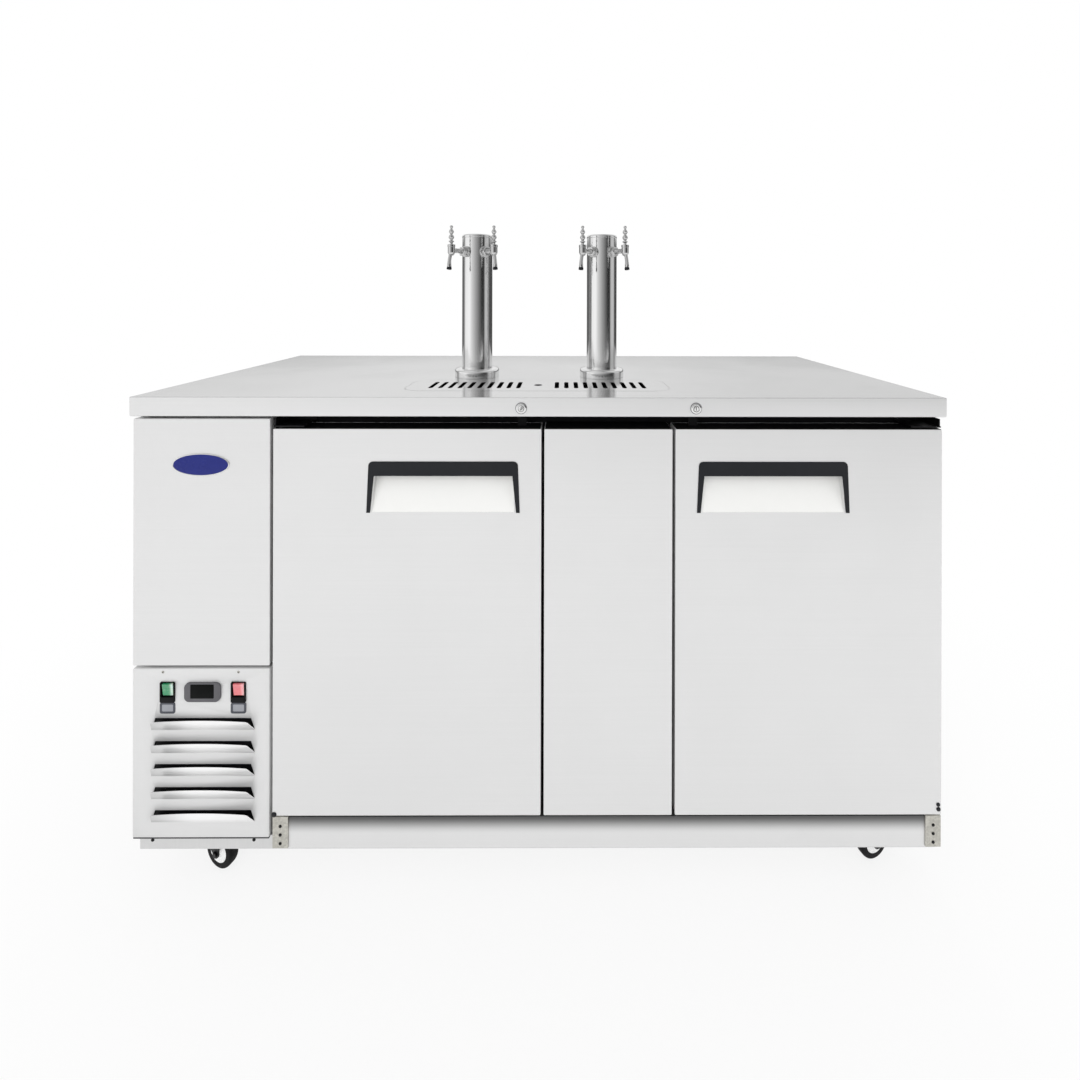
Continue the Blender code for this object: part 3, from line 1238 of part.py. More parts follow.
def make_faucet(name, frame, shank):
    """A faucet: shank and collar in line with the column's hole, cup, spout and lever."""
    start, flange = COLUMN_RADIUS - SHANK_INSIDE, COLUMN_RADIUS + GAP
    collar, nut = flange + COLLAR_LENGTH, flange + COLLAR_LENGTH + NUT_LENGTH
    neck_end = FAUCET_REACH - CUP_RADIUS / 2
    profile = [
        (0, start), (SHANK_RADIUS, start), (SHANK_RADIUS, flange), (COLLAR_RADIUS, flange),
        (COLLAR_RADIUS, collar - BEND), (NUT_RADIUS, collar), (NUT_RADIUS, nut - BEND),
        (NECK_RADIUS, nut), (NECK_RADIUS, neck_end), (0, neck_end),
    ]
    bm = bmesh.new()
    turned(bm, profile, SMALL_STEPS, shank)
    faucet = piece(f"faucet_{name}", bm, POLISHED_STEEL, smooth=True)
    cup = frame @ Matrix.Translation((FAUCET_REACH, 0, 0))
    cup_profile = [
        (0, -CUP_FOOT), (CUP_BORE, -CUP_FOOT + BEND), (CUP_RADIUS, -CUP_FOOT / 2), (CUP_RADIUS, CUP_RIM),
        (0, CUP_RIM),
    ]
    weld(faucet, turned, cup_profile, SMALL_STEPS, cup)
    tilt = math.radians(SPOUT_ANGLE)
    spout = cup @ turned_frame((0, 0, 0), (math.sin(tilt), 0, -math.cos(tilt)))
    spout_profile = [
        (0, BEND), (SPOUT_RADIUS, BEND), (SPOUT_RADIUS, SPOUT_LENGTH - 2 * BEND),
        (SPOUT_LIP_RADIUS, SPOUT_LENGTH - BEND), (SPOUT_LIP_RADIUS, SPOUT_LENGTH), (0, SPOUT_LENGTH),
    ]
    weld(faucet, turned, spout_profile, TINY_STEPS, spout)
    cut(faucet, rod, SPOUT_BORE, SPOUT_LENGTH - SPOUT_BORE_DEPTH, SPOUT_LENGTH + OVERRUN, TINY_STEPS, spout)
    cut(faucet, rod, CUP_BORE, CUP_FLOOR, CUP_RIM + OVERRUN, TINY_STEPS, cup)

    pivot_z = CUP_FLOOR + GAP + BALL_RADIUS
    ball = arc((0, pivot_z), BALL_RADIUS, *BALL_ARC, SMALL_STEPS // 3)
    grip_start = CUP_RIM + BALL_RADIUS
    length = LEVER_LENGTH - (grip_start - pivot_z + BALL_RADIUS)
    lever = [(0, ball[0][1])] + ball[1:] + shaped(LEVER_SHARES, LEVER_BULGE, length, grip_start)
    bm = bmesh.new()
    turned(bm, lever, LEVER_STEPS, cup)
    piece(f"faucet_lever_{name}", bm, POLISHED_STEEL, cup @ Vector((0, 0, pivot_z)), smooth=True)


def fan(bm, radius, hub_radius, frame):
    """The blades of a fan: twisted plates that start inside the hub."""
    reaches = (hub_radius * FAN_ROOT_SHARE, radius * FAN_MIDDLE_SHARE, radius)
    for blade in range(FAN_BLADES):
        turn = frame @ Matrix.Rotation(math.tau * blade / FAN_BLADES, 4, "Z")
        loops = []
        for reach, (chord_share, pitch_share) in zip(reaches, FAN_STATION_SHARES):
            pitch = math.radians(FAN_PITCH) * pitch_share
            half_chord = radius * FAN_CHORD_SHARE * chord_share / 2
            along = Vector((0, math.cos(pitch), math.sin(pitch)))
            across_blade = Vector((0, -math.sin(pitch), math.cos(pitch))) * FAN_BLADE_GAUGE / 2
            place = Vector((reach, 0, 0))
            corners = (
                place - along * half_chord - across_blade, place + along * half_chord - across_blade,
                place + along * half_chord + across_blade, place - along * half_chord + across_blade,
            )
            loops.append([turn @ corner for corner in corners])
        loft(bm, loops)


def make_fan(name, radius, frame, finish):
    """A fan wheel bored for its motor's shaft."""
    half = FAN_HUB_LENGTH / 2
    bore = FAN_BORE + BORE_CLEARANCE
    bm = bmesh.new()
    turned(bm, [(bore, -half), (FAN_HUB_RADIUS, -half), (FAN_HUB_RADIUS, half), (bore, half)],
           MEDIUM_STEPS, frame, hollow=True)
    made = piece(name, bm, finish, frame.translation)
    weld(made, fan, radius, FAN_HUB_RADIUS, frame)


def fan_motor(bm, back, frame):
    """A fan motor with its shaft; the frame's Z points from the fan to the motor."""
    hub_back = FAN_HUB_LENGTH / 2
    motor_front = hub_back + MOTOR_GAP
    profile = [
        (0, -hub_back), (FAN_BORE, -hub_back), (FAN_BORE, motor_front), (MOTOR_RADIUS, motor_front),
        (MOTOR_RADIUS, back), (0, back),
    ]
    turned(bm, profile, MEDIUM_STEPS, frame)


def strap(bm, radius, seat, frame):
    """A strap from one side of a fan opening round behind the fan to the other side."""
    back = FAN_HUB_LENGTH / 2 + MOTOR_GAP + MOTOR_LENGTH / 2
    reach = radius + FAN_RUNNING_GAP + STRAP_WIDTH / 2
    path = [(-reach, seat), (-reach, back), (reach, back), (reach, seat)]
    prism(bm, folded(path, -STRAP_GAUGE), "Y", -STRAP_WIDTH / 2, STRAP_WIDTH / 2)
    bmesh.ops.transform(bm, matrix=frame, verts=bm.verts)


def fins(bm, span, depths, heights, count):
    """A finned coil block: a comb outline in plan, extruded upwards."""
    pitch = (span[1] - span[0]) / (2 * count - 1)
    root = depths[0] + (depths[1] - depths[0]) * FIN_DEPTH_SHARE
    outline = [(span[1], depths[1]), (span[0], depths[1])]
    for fin in range(count):
        x = span[0] + 2 * fin * pitch
        outline += [(x, depths[0]), (x + pitch, depths[0])]
        if fin < count - 1:
            outline += [(x + pitch, root), (x + 2 * pitch, root)]
    prism(bm, outline, "Z", *heights)


def make_cooling_unit():
    """Compressor, condenser and its fan, standing on the base behind the louvres."""
    floor = BODY_BOTTOM
    left, right = BAY_CENTRE - CONDENSER_WIDTH / 2, BAY_CENTRE + CONDENSER_WIDTH / 2
    top = floor + CONDENSER_HEIGHT
    coil_back = CONDENSER_FRONT + COIL_DEPTH
    shroud_back = coil_back + SHROUD_DEPTH
    bm = bmesh.new()
    fins(bm, (left, right), (behind(CONDENSER_FRONT), behind(coil_back)), (floor, top), COIL_FINS)
    condenser = piece("condenser", bm, ALUMINIUM)
    weld(condenser, box, (left, behind(coil_back - SHROUD_WALL), floor), (right, behind(shroud_back), top))
    cut(condenser, box, (left + SHROUD_WALL, behind(coil_back), floor + SHROUD_WALL),
        (right - SHROUD_WALL, behind(shroud_back - SHROUD_WALL), top - SHROUD_WALL))
    centre = (BAY_CENTRE, behind(shroud_back), floor + CONDENSER_HEIGHT / 2)
    fan_frame = turned_frame(centre, (0, 1, 0))
    cut(condenser, rod, FAN_RADIUS + FAN_RUNNING_GAP, -SHROUD_WALL - OVERRUN, OVERRUN, FINE_STEPS, fan_frame)
    upright = fan_frame @ Matrix.Rotation(math.pi / 2, 4, "Z")
    weld(condenser, strap, FAN_RADIUS, -SHROUD_WALL / 2, upright)
    weld(condenser, fan_motor, FAN_HUB_LENGTH / 2 + MOTOR_GAP + MOTOR_LENGTH, fan_frame)
    make_fan("condenser_fan", FAN_RADIUS, fan_frame, BLACK_PLASTIC)

    body_bottom = floor + COMPRESSOR_LIFT
    centre = Matrix.Translation((BAY_CENTRE, behind(COMPRESSOR_BEHIND), 0))
    bm = bmesh.new()
    turned(bm, shaped(DOME_SHARES, COMPRESSOR_RADIUS, COMPRESSOR_HEIGHT, body_bottom), ROUND_STEPS, centre)
    compressor = piece("compressor", bm, BLACK_STEEL, smooth=True)
    x, y = BAY_CENTRE, behind(COMPRESSOR_BEHIND)
    half_w, half_d = FOOT_PLATE_WIDTH / 2, FOOT_PLATE_DEPTH / 2
    plate_bottom = body_bottom - FOOT_PLATE_GAUGE / 2
    weld(compressor, box, (x - half_w, y - half_d, plate_bottom),
         (x + half_w, y + half_d, plate_bottom + FOOT_PLATE_GAUGE))
    foot_u, foot_v = half_w - FOOT_INSET, half_d - FOOT_INSET
    for side_x in (-1, 1):
        for side_y in (-1, 1):
            foot = Matrix.Translation((x + side_x * foot_u, y + side_y * foot_v, 0))
            weld(compressor, rod, FOOT_RADIUS, floor, plate_bottom + FOOT_PLATE_GAUGE / 2, TINY_STEPS, foot)
    box_front = y - COMPRESSOR_RADIUS - TERMINAL_BOX_DEPTH / 2
    middle = body_bottom + COMPRESSOR_HEIGHT / 3
    weld(compressor, box, (x - TERMINAL_BOX_WIDTH / 2, box_front, middle),
         (x + TERMINAL_BOX_WIDTH / 2, box_front + TERMINAL_BOX_DEPTH, middle + TERMINAL_BOX_HEIGHT))
    stub = Matrix.Translation((x + COMPRESSOR_RADIUS / 2, y + COMPRESSOR_RADIUS / 3, 0))
    pipe_end = body_bottom + COMPRESSOR_HEIGHT + PIPE_STUB
    weld(compressor, rod, PIPE_RADIUS, middle + TERMINAL_BOX_HEIGHT, pipe_end, TINY_STEPS, stub)


def make_evaporator():
    """The evaporator: a housing on the left wall inside, with its coil, motor and fan."""
    left = BOX_LEFT + LINER_WALL + GAP
    right = left + EVAPORATOR_DEPTH_X
    front, back = EVAPORATOR_BEHIND, EVAPORATOR_BEHIND + EVAPORATOR_LENGTH
    top = CEILING_BOTTOM - EVAPORATOR_TOP_GAP
    bottom = top - EVAPORATOR_HEIGHT
    coil_right = left + EVAPORATOR_DEPTH_X * EVAPORATOR_COIL_SHARE
    bm = bmesh.new()
    box(bm, (left, behind(front), bottom), (right, behind(back), top))
    housing = piece("evaporator_housing", bm, WHITE_LINER)
    cut(housing, box, (coil_right, behind(front + SHEET), bottom + SHEET),
        (right - SHEET, behind(back - SHEET), top - SHEET))
    centre = (right, behind((front + back) / 2), (bottom + top) / 2)
    fan_frame = turned_frame(centre, (-1, 0, 0))
    opening = EVAPORATOR_FAN_RADIUS + FAN_RUNNING_GAP
    cut(housing, rod, opening, -OVERRUN, SHEET + OVERRUN, FINE_STEPS, fan_frame)
    cut(housing, box, (coil_right, behind(front + EVAPORATOR_DRAIN_SLOT), bottom - OVERRUN),
        (coil_right + EVAPORATOR_DRAIN_SLOT, behind(back - EVAPORATOR_DRAIN_SLOT), bottom + OVERRUN))
    weld(housing, fan_motor, right - coil_right + OVERRUN / 2, fan_frame)
    make_fan("evaporator_fan", EVAPORATOR_FAN_RADIUS, fan_frame, BLACK_PLASTIC)


def back_slots(bm, left, right):
    """Rows of slots in two columns, in the case behind the machine bay."""
    pitch_z = (BACK_VENT_TOP - BACK_VENT_BOTTOM) / (BACK_SLOT_ROWS + 1)
    pitch_x = (right - left) / BACK_SLOT_COLUMNS
    half_w = (right - left) * BACK_SLOT_WIDTH_SHARE / 2
    for row in range(BACK_SLOT_ROWS):
        z = BACK_VENT_BOTTOM + pitch_z * (row + 1)
        for column in range(BACK_SLOT_COLUMNS):
            x = left + pitch_x * (column + 1 / 2)
            box(bm, (x - half_w, behind(BODY_BACK - OVERRUN), z - BACK_SLOT_HEIGHT / 2),
                (x + half_w, behind(BODY_BACK + OVERRUN), z + BACK_SLOT_HEIGHT / 2))


def main():
    """Build the whole cooler in an emptied scene."""
    for old in list(bpy.data.objects):
        bpy.data.objects.remove(old, do_unlink=True)
    make_base()
    make_casters()
    make_cabinet()
    make_front_panels()
    make_controls()
    make_cooling_unit()
    make_evaporator()
    make_doors()
    make_hinges()
    make_worktop()
    make_drain()
    make_locks()
    make_towers()


main()
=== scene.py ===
"""Finishes, fittings and studio for a two-door keg cooler with two draught towers, in metres."""
import json
import math

import bmesh
import bpy
from mathutils import Matrix, Vector


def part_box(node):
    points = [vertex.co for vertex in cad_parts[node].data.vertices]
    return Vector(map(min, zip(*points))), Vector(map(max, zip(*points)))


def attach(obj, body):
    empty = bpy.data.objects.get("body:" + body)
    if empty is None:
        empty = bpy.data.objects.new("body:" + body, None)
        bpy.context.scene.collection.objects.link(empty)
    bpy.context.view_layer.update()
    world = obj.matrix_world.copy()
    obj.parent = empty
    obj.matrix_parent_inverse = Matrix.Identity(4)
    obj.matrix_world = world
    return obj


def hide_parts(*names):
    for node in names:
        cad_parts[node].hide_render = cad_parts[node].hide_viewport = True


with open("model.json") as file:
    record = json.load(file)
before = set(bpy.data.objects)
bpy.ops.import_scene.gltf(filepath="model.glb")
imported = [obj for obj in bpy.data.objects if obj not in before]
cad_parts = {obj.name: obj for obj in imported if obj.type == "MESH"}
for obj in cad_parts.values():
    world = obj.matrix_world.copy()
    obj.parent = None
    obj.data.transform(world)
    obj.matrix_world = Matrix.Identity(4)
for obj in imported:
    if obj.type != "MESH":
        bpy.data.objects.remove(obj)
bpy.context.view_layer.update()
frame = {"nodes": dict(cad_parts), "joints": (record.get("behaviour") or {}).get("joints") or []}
nodes = frame["nodes"]
joints = {joint["name"]: joint for joint in frame["joints"]}

# Faces and places on the cooler that the fittings sit on
DOOR_FACE = -0.3545
LIP_FACE = -0.3575
WORKTOP_TOP = 1.055
SIDES = {"left": -1, "right": 1}
FAUCETS = {
    "left_outer": ("left", -36.5), "left_inner": ("left", 36.5),
    "right_inner": ("right", -36.5), "right_outer": ("right", 36.5),
}
FAUCET_REACH = 0.0912
CASTERS = ("front_left", "front_right", "back_left", "back_right")
SHANK_HEIGHT = 1.387
CONTROLS_X, CONTROLS_Z = -0.719, 0.4225
SWITCH_SPREAD = 0.0757
LOUVRES, LOUVRE_PITCH, LOUVRE_TOP, LOUVRE_RISE = 5, 0.04935, 0.3665, 0.026
COLUMN_HEIGHT, COLUMN_RADIUS, FLANGE_RADIUS, FLANGE_HEIGHT = 0.3705, 0.04, 0.0585, 0.021
SPOUT_TILT, LEVER_LENGTH = 9, 0.061
SWITCH_FRONT, SWITCH_BODY, SWITCH_WELL = (0.032, 0.044), (0.028, 0.04), (0.0256, 0.0308)
ROCKER_FRONT, ROCKER_RISE, ROCKER_TILT, ROCKER_DISH = (0.0236, 0.0262), 0.0055, 7, 0.0016
CONTROLLER_FRONT, CONTROLLER_BODY, CONTROLLER_WELL = (0.077, 0.0405), (0.071, 0.029), (0.05, 0.03)
WINDOW_SIZE, WINDOW_RISE = (0.0496, 0.0296), 0.0035


def linear(level):
    """A display level from 0 to 255 as a linear value."""
    share = level / 255
    return share / 12.92 if share <= 0.04045 else ((share + 0.055) / 1.055) ** 2.4


def colour(red, green, blue):
    return (linear(red), linear(green), linear(blue), 1)


class Graph:
    """A node tree that is written a node at a time."""

    def __init__(self, tree):
        self.tree = tree

    def feed(self, socket, value):
        if isinstance(value, bpy.types.NodeSocket):
            self.tree.links.new(value, socket)
        else:
            socket.default_value = value

    def add(self, kind, inputs=None, **settings):
        node = self.tree.nodes.new(kind if kind.startswith("Node") else f"ShaderNode{kind}")
        for name, value in settings.items():
            setattr(node, name, value)
        for socket, value in (inputs or {}).items():
            self.feed(node.inputs[socket], value)
        return node

    def maths(self, operation, first, second=0.0):
        return self.add("Math", {0: first, 1: second}, operation=operation).outputs[0]

    def remap(self, value, low, high, to_low=0.0, to_high=1.0, smooth=False):
        spread = self.add("MapRange", {0: value, 1: low, 2: high, 3: to_low, 4: to_high},
                          interpolation_type="SMOOTHSTEP" if smooth else "LINEAR")
        return spread.outputs[0]

    def blend(self, factor, first, second, kind="MIX"):
        mix = self.add("Mix", {0: factor, 6: first, 7: second}, data_type="RGBA", blend_type=kind)
        return mix.outputs[2]

    def noise(self, vector, scale, detail=2.0, roughness=0.5):
        return self.add("TexNoise", {"Vector": vector, "Scale": scale, "Detail": detail, "Roughness": roughness})


def new_group(name, inputs, outputs):
    """A shader node group with named sockets; returns its graph, its input sockets and its output node."""
    tree = bpy.data.node_groups.new(name, "ShaderNodeTree")
    for label, kind, value in inputs:
        socket = tree.interface.new_socket(label, in_out="INPUT", socket_type=f"NodeSocket{kind}")
        socket.default_value = value
    for label, kind in outputs:
        tree.interface.new_socket(label, in_out="OUTPUT", socket_type=f"NodeSocket{kind}")
    graph = Graph(tree)
    return graph, graph.add("NodeGroupInput").outputs, graph.add("NodeGroupOutput").inputs


def brushed_lines_group():
    """Fine lines of a brushed surface, long one way and short the others."""
    graph, given, result = new_group("brushed lines", [("Stretch", "Vector", (8, 900, 900))],
                                     [("Lines", "Float"), ("Height", "Float")])
    place = graph.add("TexCoord").outputs["Object"]
    run = graph.add("VectorMath", {0: place, 1: given["Stretch"]}, operation="MULTIPLY").outputs[0]
    coarse = graph.noise(run, 0.35, 3, 0.6).outputs["Fac"]
    fine = graph.noise(run, 1.6, 2, 0.6).outputs["Fac"]
    graph.feed(result["Lines"], graph.maths("ADD", graph.maths("MULTIPLY", coarse, 0.6),
                                            graph.maths("MULTIPLY", fine, 0.4)))
    graph.feed(result["Height"], fine)
    return graph.tree


def handling_marks_group():
    """Soft smudges and wiped patches that change a surface's gloss."""
    graph, given, result = new_group("handling marks", [("Size", "Float", 0.2), ("Seed", "Float", 0.0)],
                                     [("Marks", "Float")])
    place = graph.add("TexCoord").outputs["Object"]
    moved = graph.add("VectorMath", {0: place, 1: given["Seed"]}, operation="ADD").outputs[0]
    scale = graph.maths("DIVIDE", 1.0, given["Size"])
    broad = graph.noise(moved, scale, 3, 0.55).outputs["Fac"]
    small = graph.noise(moved, graph.maths("MULTIPLY", scale, 7.0), 4, 0.65).outputs["Fac"]
    both = graph.maths("ADD", graph.maths("MULTIPLY", broad, 0.7), graph.maths("MULTIPLY", small, 0.3))
    graph.feed(result["Marks"], graph.remap(both, 0.38, 0.64, smooth=True))
    return graph.tree


def floor_dust_group():
    """Dust and scuffs that thin out with height above the floor."""
    graph, given, result = new_group("floor dust", [("Top", "Float", 0.1)], [("Dust", "Float")])
    place = graph.add("TexCoord").outputs["Object"]
    height = graph.add("SeparateXYZ", {0: place}).outputs["Z"]
    share = graph.maths("SUBTRACT", 1.0, graph.maths("DIVIDE", height, given["Top"]))
    low = graph.add("Clamp", {0: share}).outputs[0]
    patches = graph.noise(place, 90.0, 4, 0.7).outputs["Fac"]
    graph.feed(result["Dust"], graph.maths("MULTIPLY", low, graph.remap(patches, 0.35, 0.7, smooth=True)))
    return graph.tree


def moulded_grain_group():
    """The fine leathery grain of a moulded plastic or rubber surface."""
    graph, given, result = new_group("moulded grain", [("Scale", "Float", 1500.0)],
                                     [("Height", "Float"), ("Tone", "Float")])
    place = graph.add("TexCoord").outputs["Object"]
    cells = graph.add("TexVoronoi", {"Vector": place, "Scale": given["Scale"]}, feature="SMOOTH_F1")
    cloud = graph.noise(place, graph.maths("MULTIPLY", given["Scale"], 0.05), 3, 0.6).outputs["Fac"]
    graph.feed(result["Height"], cells.outputs["Distance"])
    graph.feed(result["Tone"], cloud)
    return graph.tree


def spangle_group():
    """The patchwork of crystals on zinc-coated sheet."""
    graph, given, result = new_group("zinc spangle", [("Size", "Float", 0.006)], [("Tone", "Float")])
    place = graph.add("TexCoord").outputs["Object"]
    scale = graph.maths("DIVIDE", 1.0, given["Size"])
    cells = graph.add("TexVoronoi", {"Vector": place, "Scale": scale, "Randomness": 1.0})
    graph.feed(result["Tone"], graph.add("SeparateColor", {0: cells.outputs["Color"]}).outputs[0])
    return graph.tree


GROUPS = {
    "lines": brushed_lines_group(), "marks": handling_marks_group(), "dust": floor_dust_group(),
    "grain": moulded_grain_group(), "spangle": spangle_group(),
}


def new_finish(name, **constants):
    """A material with its shader's plain values set; returns the material, its graph and its shader."""
    material = bpy.data.materials.new(name)
    material.use_nodes = True
    shader = material.node_tree.nodes["Principled BSDF"]
    for label, value in constants.items():
        shader.inputs[label.replace("_", " ")].default_value = value
    return material, Graph(material.node_tree), shader


def effect(graph, name, **inputs):
    node = graph.add("Group", node_tree=GROUPS[name])
    for label, value in inputs.items():
        graph.feed(node.inputs[label], value)
    return node.outputs


def bumped(graph, shader, height, depth, strength=1.0):
    bump = graph.add("Bump", {"Height": height, "Distance": depth, "Strength": strength})
    graph.feed(shader.inputs["Normal"], bump.outputs["Normal"])


def steel(name, level, roughness, stretch, metallic=1.0, spread=0.05, depth=0.00002, marks=0.07):
    """Brushed stainless steel: lines along the sheet, and faint marks in its gloss."""
    material, graph, shader = new_finish(name, Metallic=metallic)
    lines = effect(graph, "lines", Stretch=stretch)
    wiped = effect(graph, "marks", Size=0.22)["Marks"]
    base = [linear(level)] * 3
    low = (*[value * (1 - spread) for value in base], 1)
    high = (*[min(value * (1 + spread), 1) for value in base], 1)
    tone = graph.remap(lines["Lines"], 0.3, 0.7)
    graph.feed(shader.inputs["Base Color"], graph.blend(tone, low, high))
    gloss = graph.maths("ADD", graph.remap(lines["Lines"], 0.3, 0.7, roughness - 0.03, roughness + 0.03),
                        graph.maths("MULTIPLY", wiped, marks))
    graph.feed(shader.inputs["Roughness"], gloss)
    if depth:
        bumped(graph, shader, lines["Height"], depth)
    return material


def along(graph, axis):
    """The place of a surface point along one axis of the cooler."""
    return graph.add("SeparateXYZ", {0: graph.add("TexCoord").outputs["Object"]}).outputs[axis]


def tinted(material, share_of):
    """Darken a finish by a share that its graph works out from the place."""
    graph = Graph(material.node_tree)
    shader = material.node_tree.nodes["Principled BSDF"]
    plain = shader.inputs["Base Color"].links[0].from_socket
    graph.feed(shader.inputs["Base Color"], graph.blend(1.0, plain, share_of(graph), "MULTIPLY"))
    return material


def worktop_shade(graph):
    """Painted shade: the worktop's colour falls off towards its ends, more on the right."""
    right = graph.remap(along(graph, "X"), 0.05, 0.62, 1.0, 0.8, smooth=True)
    left = graph.remap(along(graph, "X"), -0.95, -0.35, 0.86, 1.0, smooth=True)
    return graph.maths("MULTIPLY", left, right)


def kick_plate_shade(graph):
    """Painted shadow: the kick plate's colour darkens up to the doors' undersides, where their shade falls."""
    return graph.remap(along(graph, "Z"), 0.112, 0.149, 1.0, 0.12, smooth=True)


def louvre_painted_light(graph):
    """Painted highlight and shade: each louvre is brightest in its upper middle and sinks to the panel's tone at
    its foot and left end.
    """
    ends = graph.remap(along(graph, "X"), -0.832, -0.73, 0.62, 1.0, smooth=True)
    foot = LOUVRE_TOP - LOUVRE_RISE - LOUVRE_PITCH * (LOUVRES - 1)
    climb = graph.maths("SUBTRACT", along(graph, "Z"), foot)
    row = graph.maths("FRACT", graph.maths("DIVIDE", climb, LOUVRE_PITCH))
    rise = graph.remap(row, 0.02, 0.22, 0.82, 1.0, smooth=True)
    return graph.maths("MULTIPLY", ends, rise)


def plastic(name, shade, roughness, scale=1500.0, depth=0.00003, variety=0.12, coat=0.0, shine=0.5):
    """Moulded plastic or rubber with a fine grain and worn, wiped patches."""
    material, graph, shader = new_finish(name, Coat_Weight=coat, Coat_Roughness=0.08, Specular_IOR_Level=shine)
    grain = effect(graph, "grain", Scale=scale)
    wiped = effect(graph, "marks", Size=0.09, Seed=3.0)["Marks"]
    low = (*[value * (1 - variety) for value in shade[:3]], 1)
    high = (*[min(value * (1 + variety) + 0.001, 1) for value in shade[:3]], 1)
    graph.feed(shader.inputs["Base Color"], graph.blend(grain["Tone"], low, high))
    graph.feed(shader.inputs["Roughness"], graph.remap(wiped, 0, 1, roughness - 0.05, roughness + 0.06))
    bumped(graph, shader, grain["Height"], depth)
    return material


def zinc(name, shade, roughness):
    """Zinc-plated sheet with a faint spangle."""
    material, graph, shader = new_finish(name, Metallic=0.75)
    tone = effect(graph, "spangle", Size=0.004)["Tone"]
    wiped = effect(graph, "marks", Size=0.03, Seed=1.0)["Marks"]
    low = (*[value * 0.86 for value in shade[:3]], 1)
    high = (*[min(value * 1.12, 1) for value in shade[:3]], 1)
    graph.feed(shader.inputs["Base Color"], graph.blend(tone, low, high))
    graph.feed(shader.inputs["Roughness"], graph.remap(wiped, 0, 1, roughness - 0.06, roughness + 0.1))
    bumped(graph, shader, tone, 0.00002)
    return material


def rubber(name, shade, roughness, top):
    """Tyre rubber with dust from the floor."""
    material, graph, shader = new_finish(name, Specular_IOR_Level=0.12)
    grain = effect(graph, "grain", Scale=900.0)
    dust = effect(graph, "dust", Top=top)["Dust"]
    dark = graph.blend(grain["Tone"], shade, (*[value * 1.5 + 0.002 for value in shade[:3]], 1))
    graph.feed(shader.inputs["Base Color"], graph.blend(graph.maths("MULTIPLY", dust, 0.06), dark,
                                                        (0.25, 0.24, 0.22, 1)))
    graph.feed(shader.inputs["Roughness"], graph.remap(dust, 0, 1, roughness, min(roughness + 0.2, 1)))
    bumped(graph, shader, grain["Height"], 0.00004)
    return material


def lens(name, shade, pale, centre):
    """Translucent moulded lens of a rocker, with a painted highlight that pales it towards the side that catches
    the light.
    """
    material, graph, shader = new_finish(name, Roughness=0.16, Coat_Weight=0.6, Coat_Roughness=0.05,
                                         Subsurface_Weight=0.25, Subsurface_Scale=0.004)
    place = graph.add("TexCoord").outputs["Object"]
    ribs = graph.add("TexWave", {"Vector": place, "Scale": 180.0, "Distortion": 0.0}, bands_direction="Z")
    cloud = graph.noise(place, 160.0, 2, 0.5).outputs["Fac"]
    # Painted highlight: the lens pales towards its right side.
    painted_highlight_share = graph.remap(along(graph, "X"), centre + 0.002, centre + 0.011, 0.0, 0.75, smooth=True)
    share = graph.maths("ADD", painted_highlight_share, graph.remap(cloud, 0.35, 0.75, 0.0, 0.1))
    graph.feed(shader.inputs["Base Color"], graph.blend(share, shade, pale))
    bumped(graph, shader, ribs.outputs["Fac"], 0.000006)
    return material


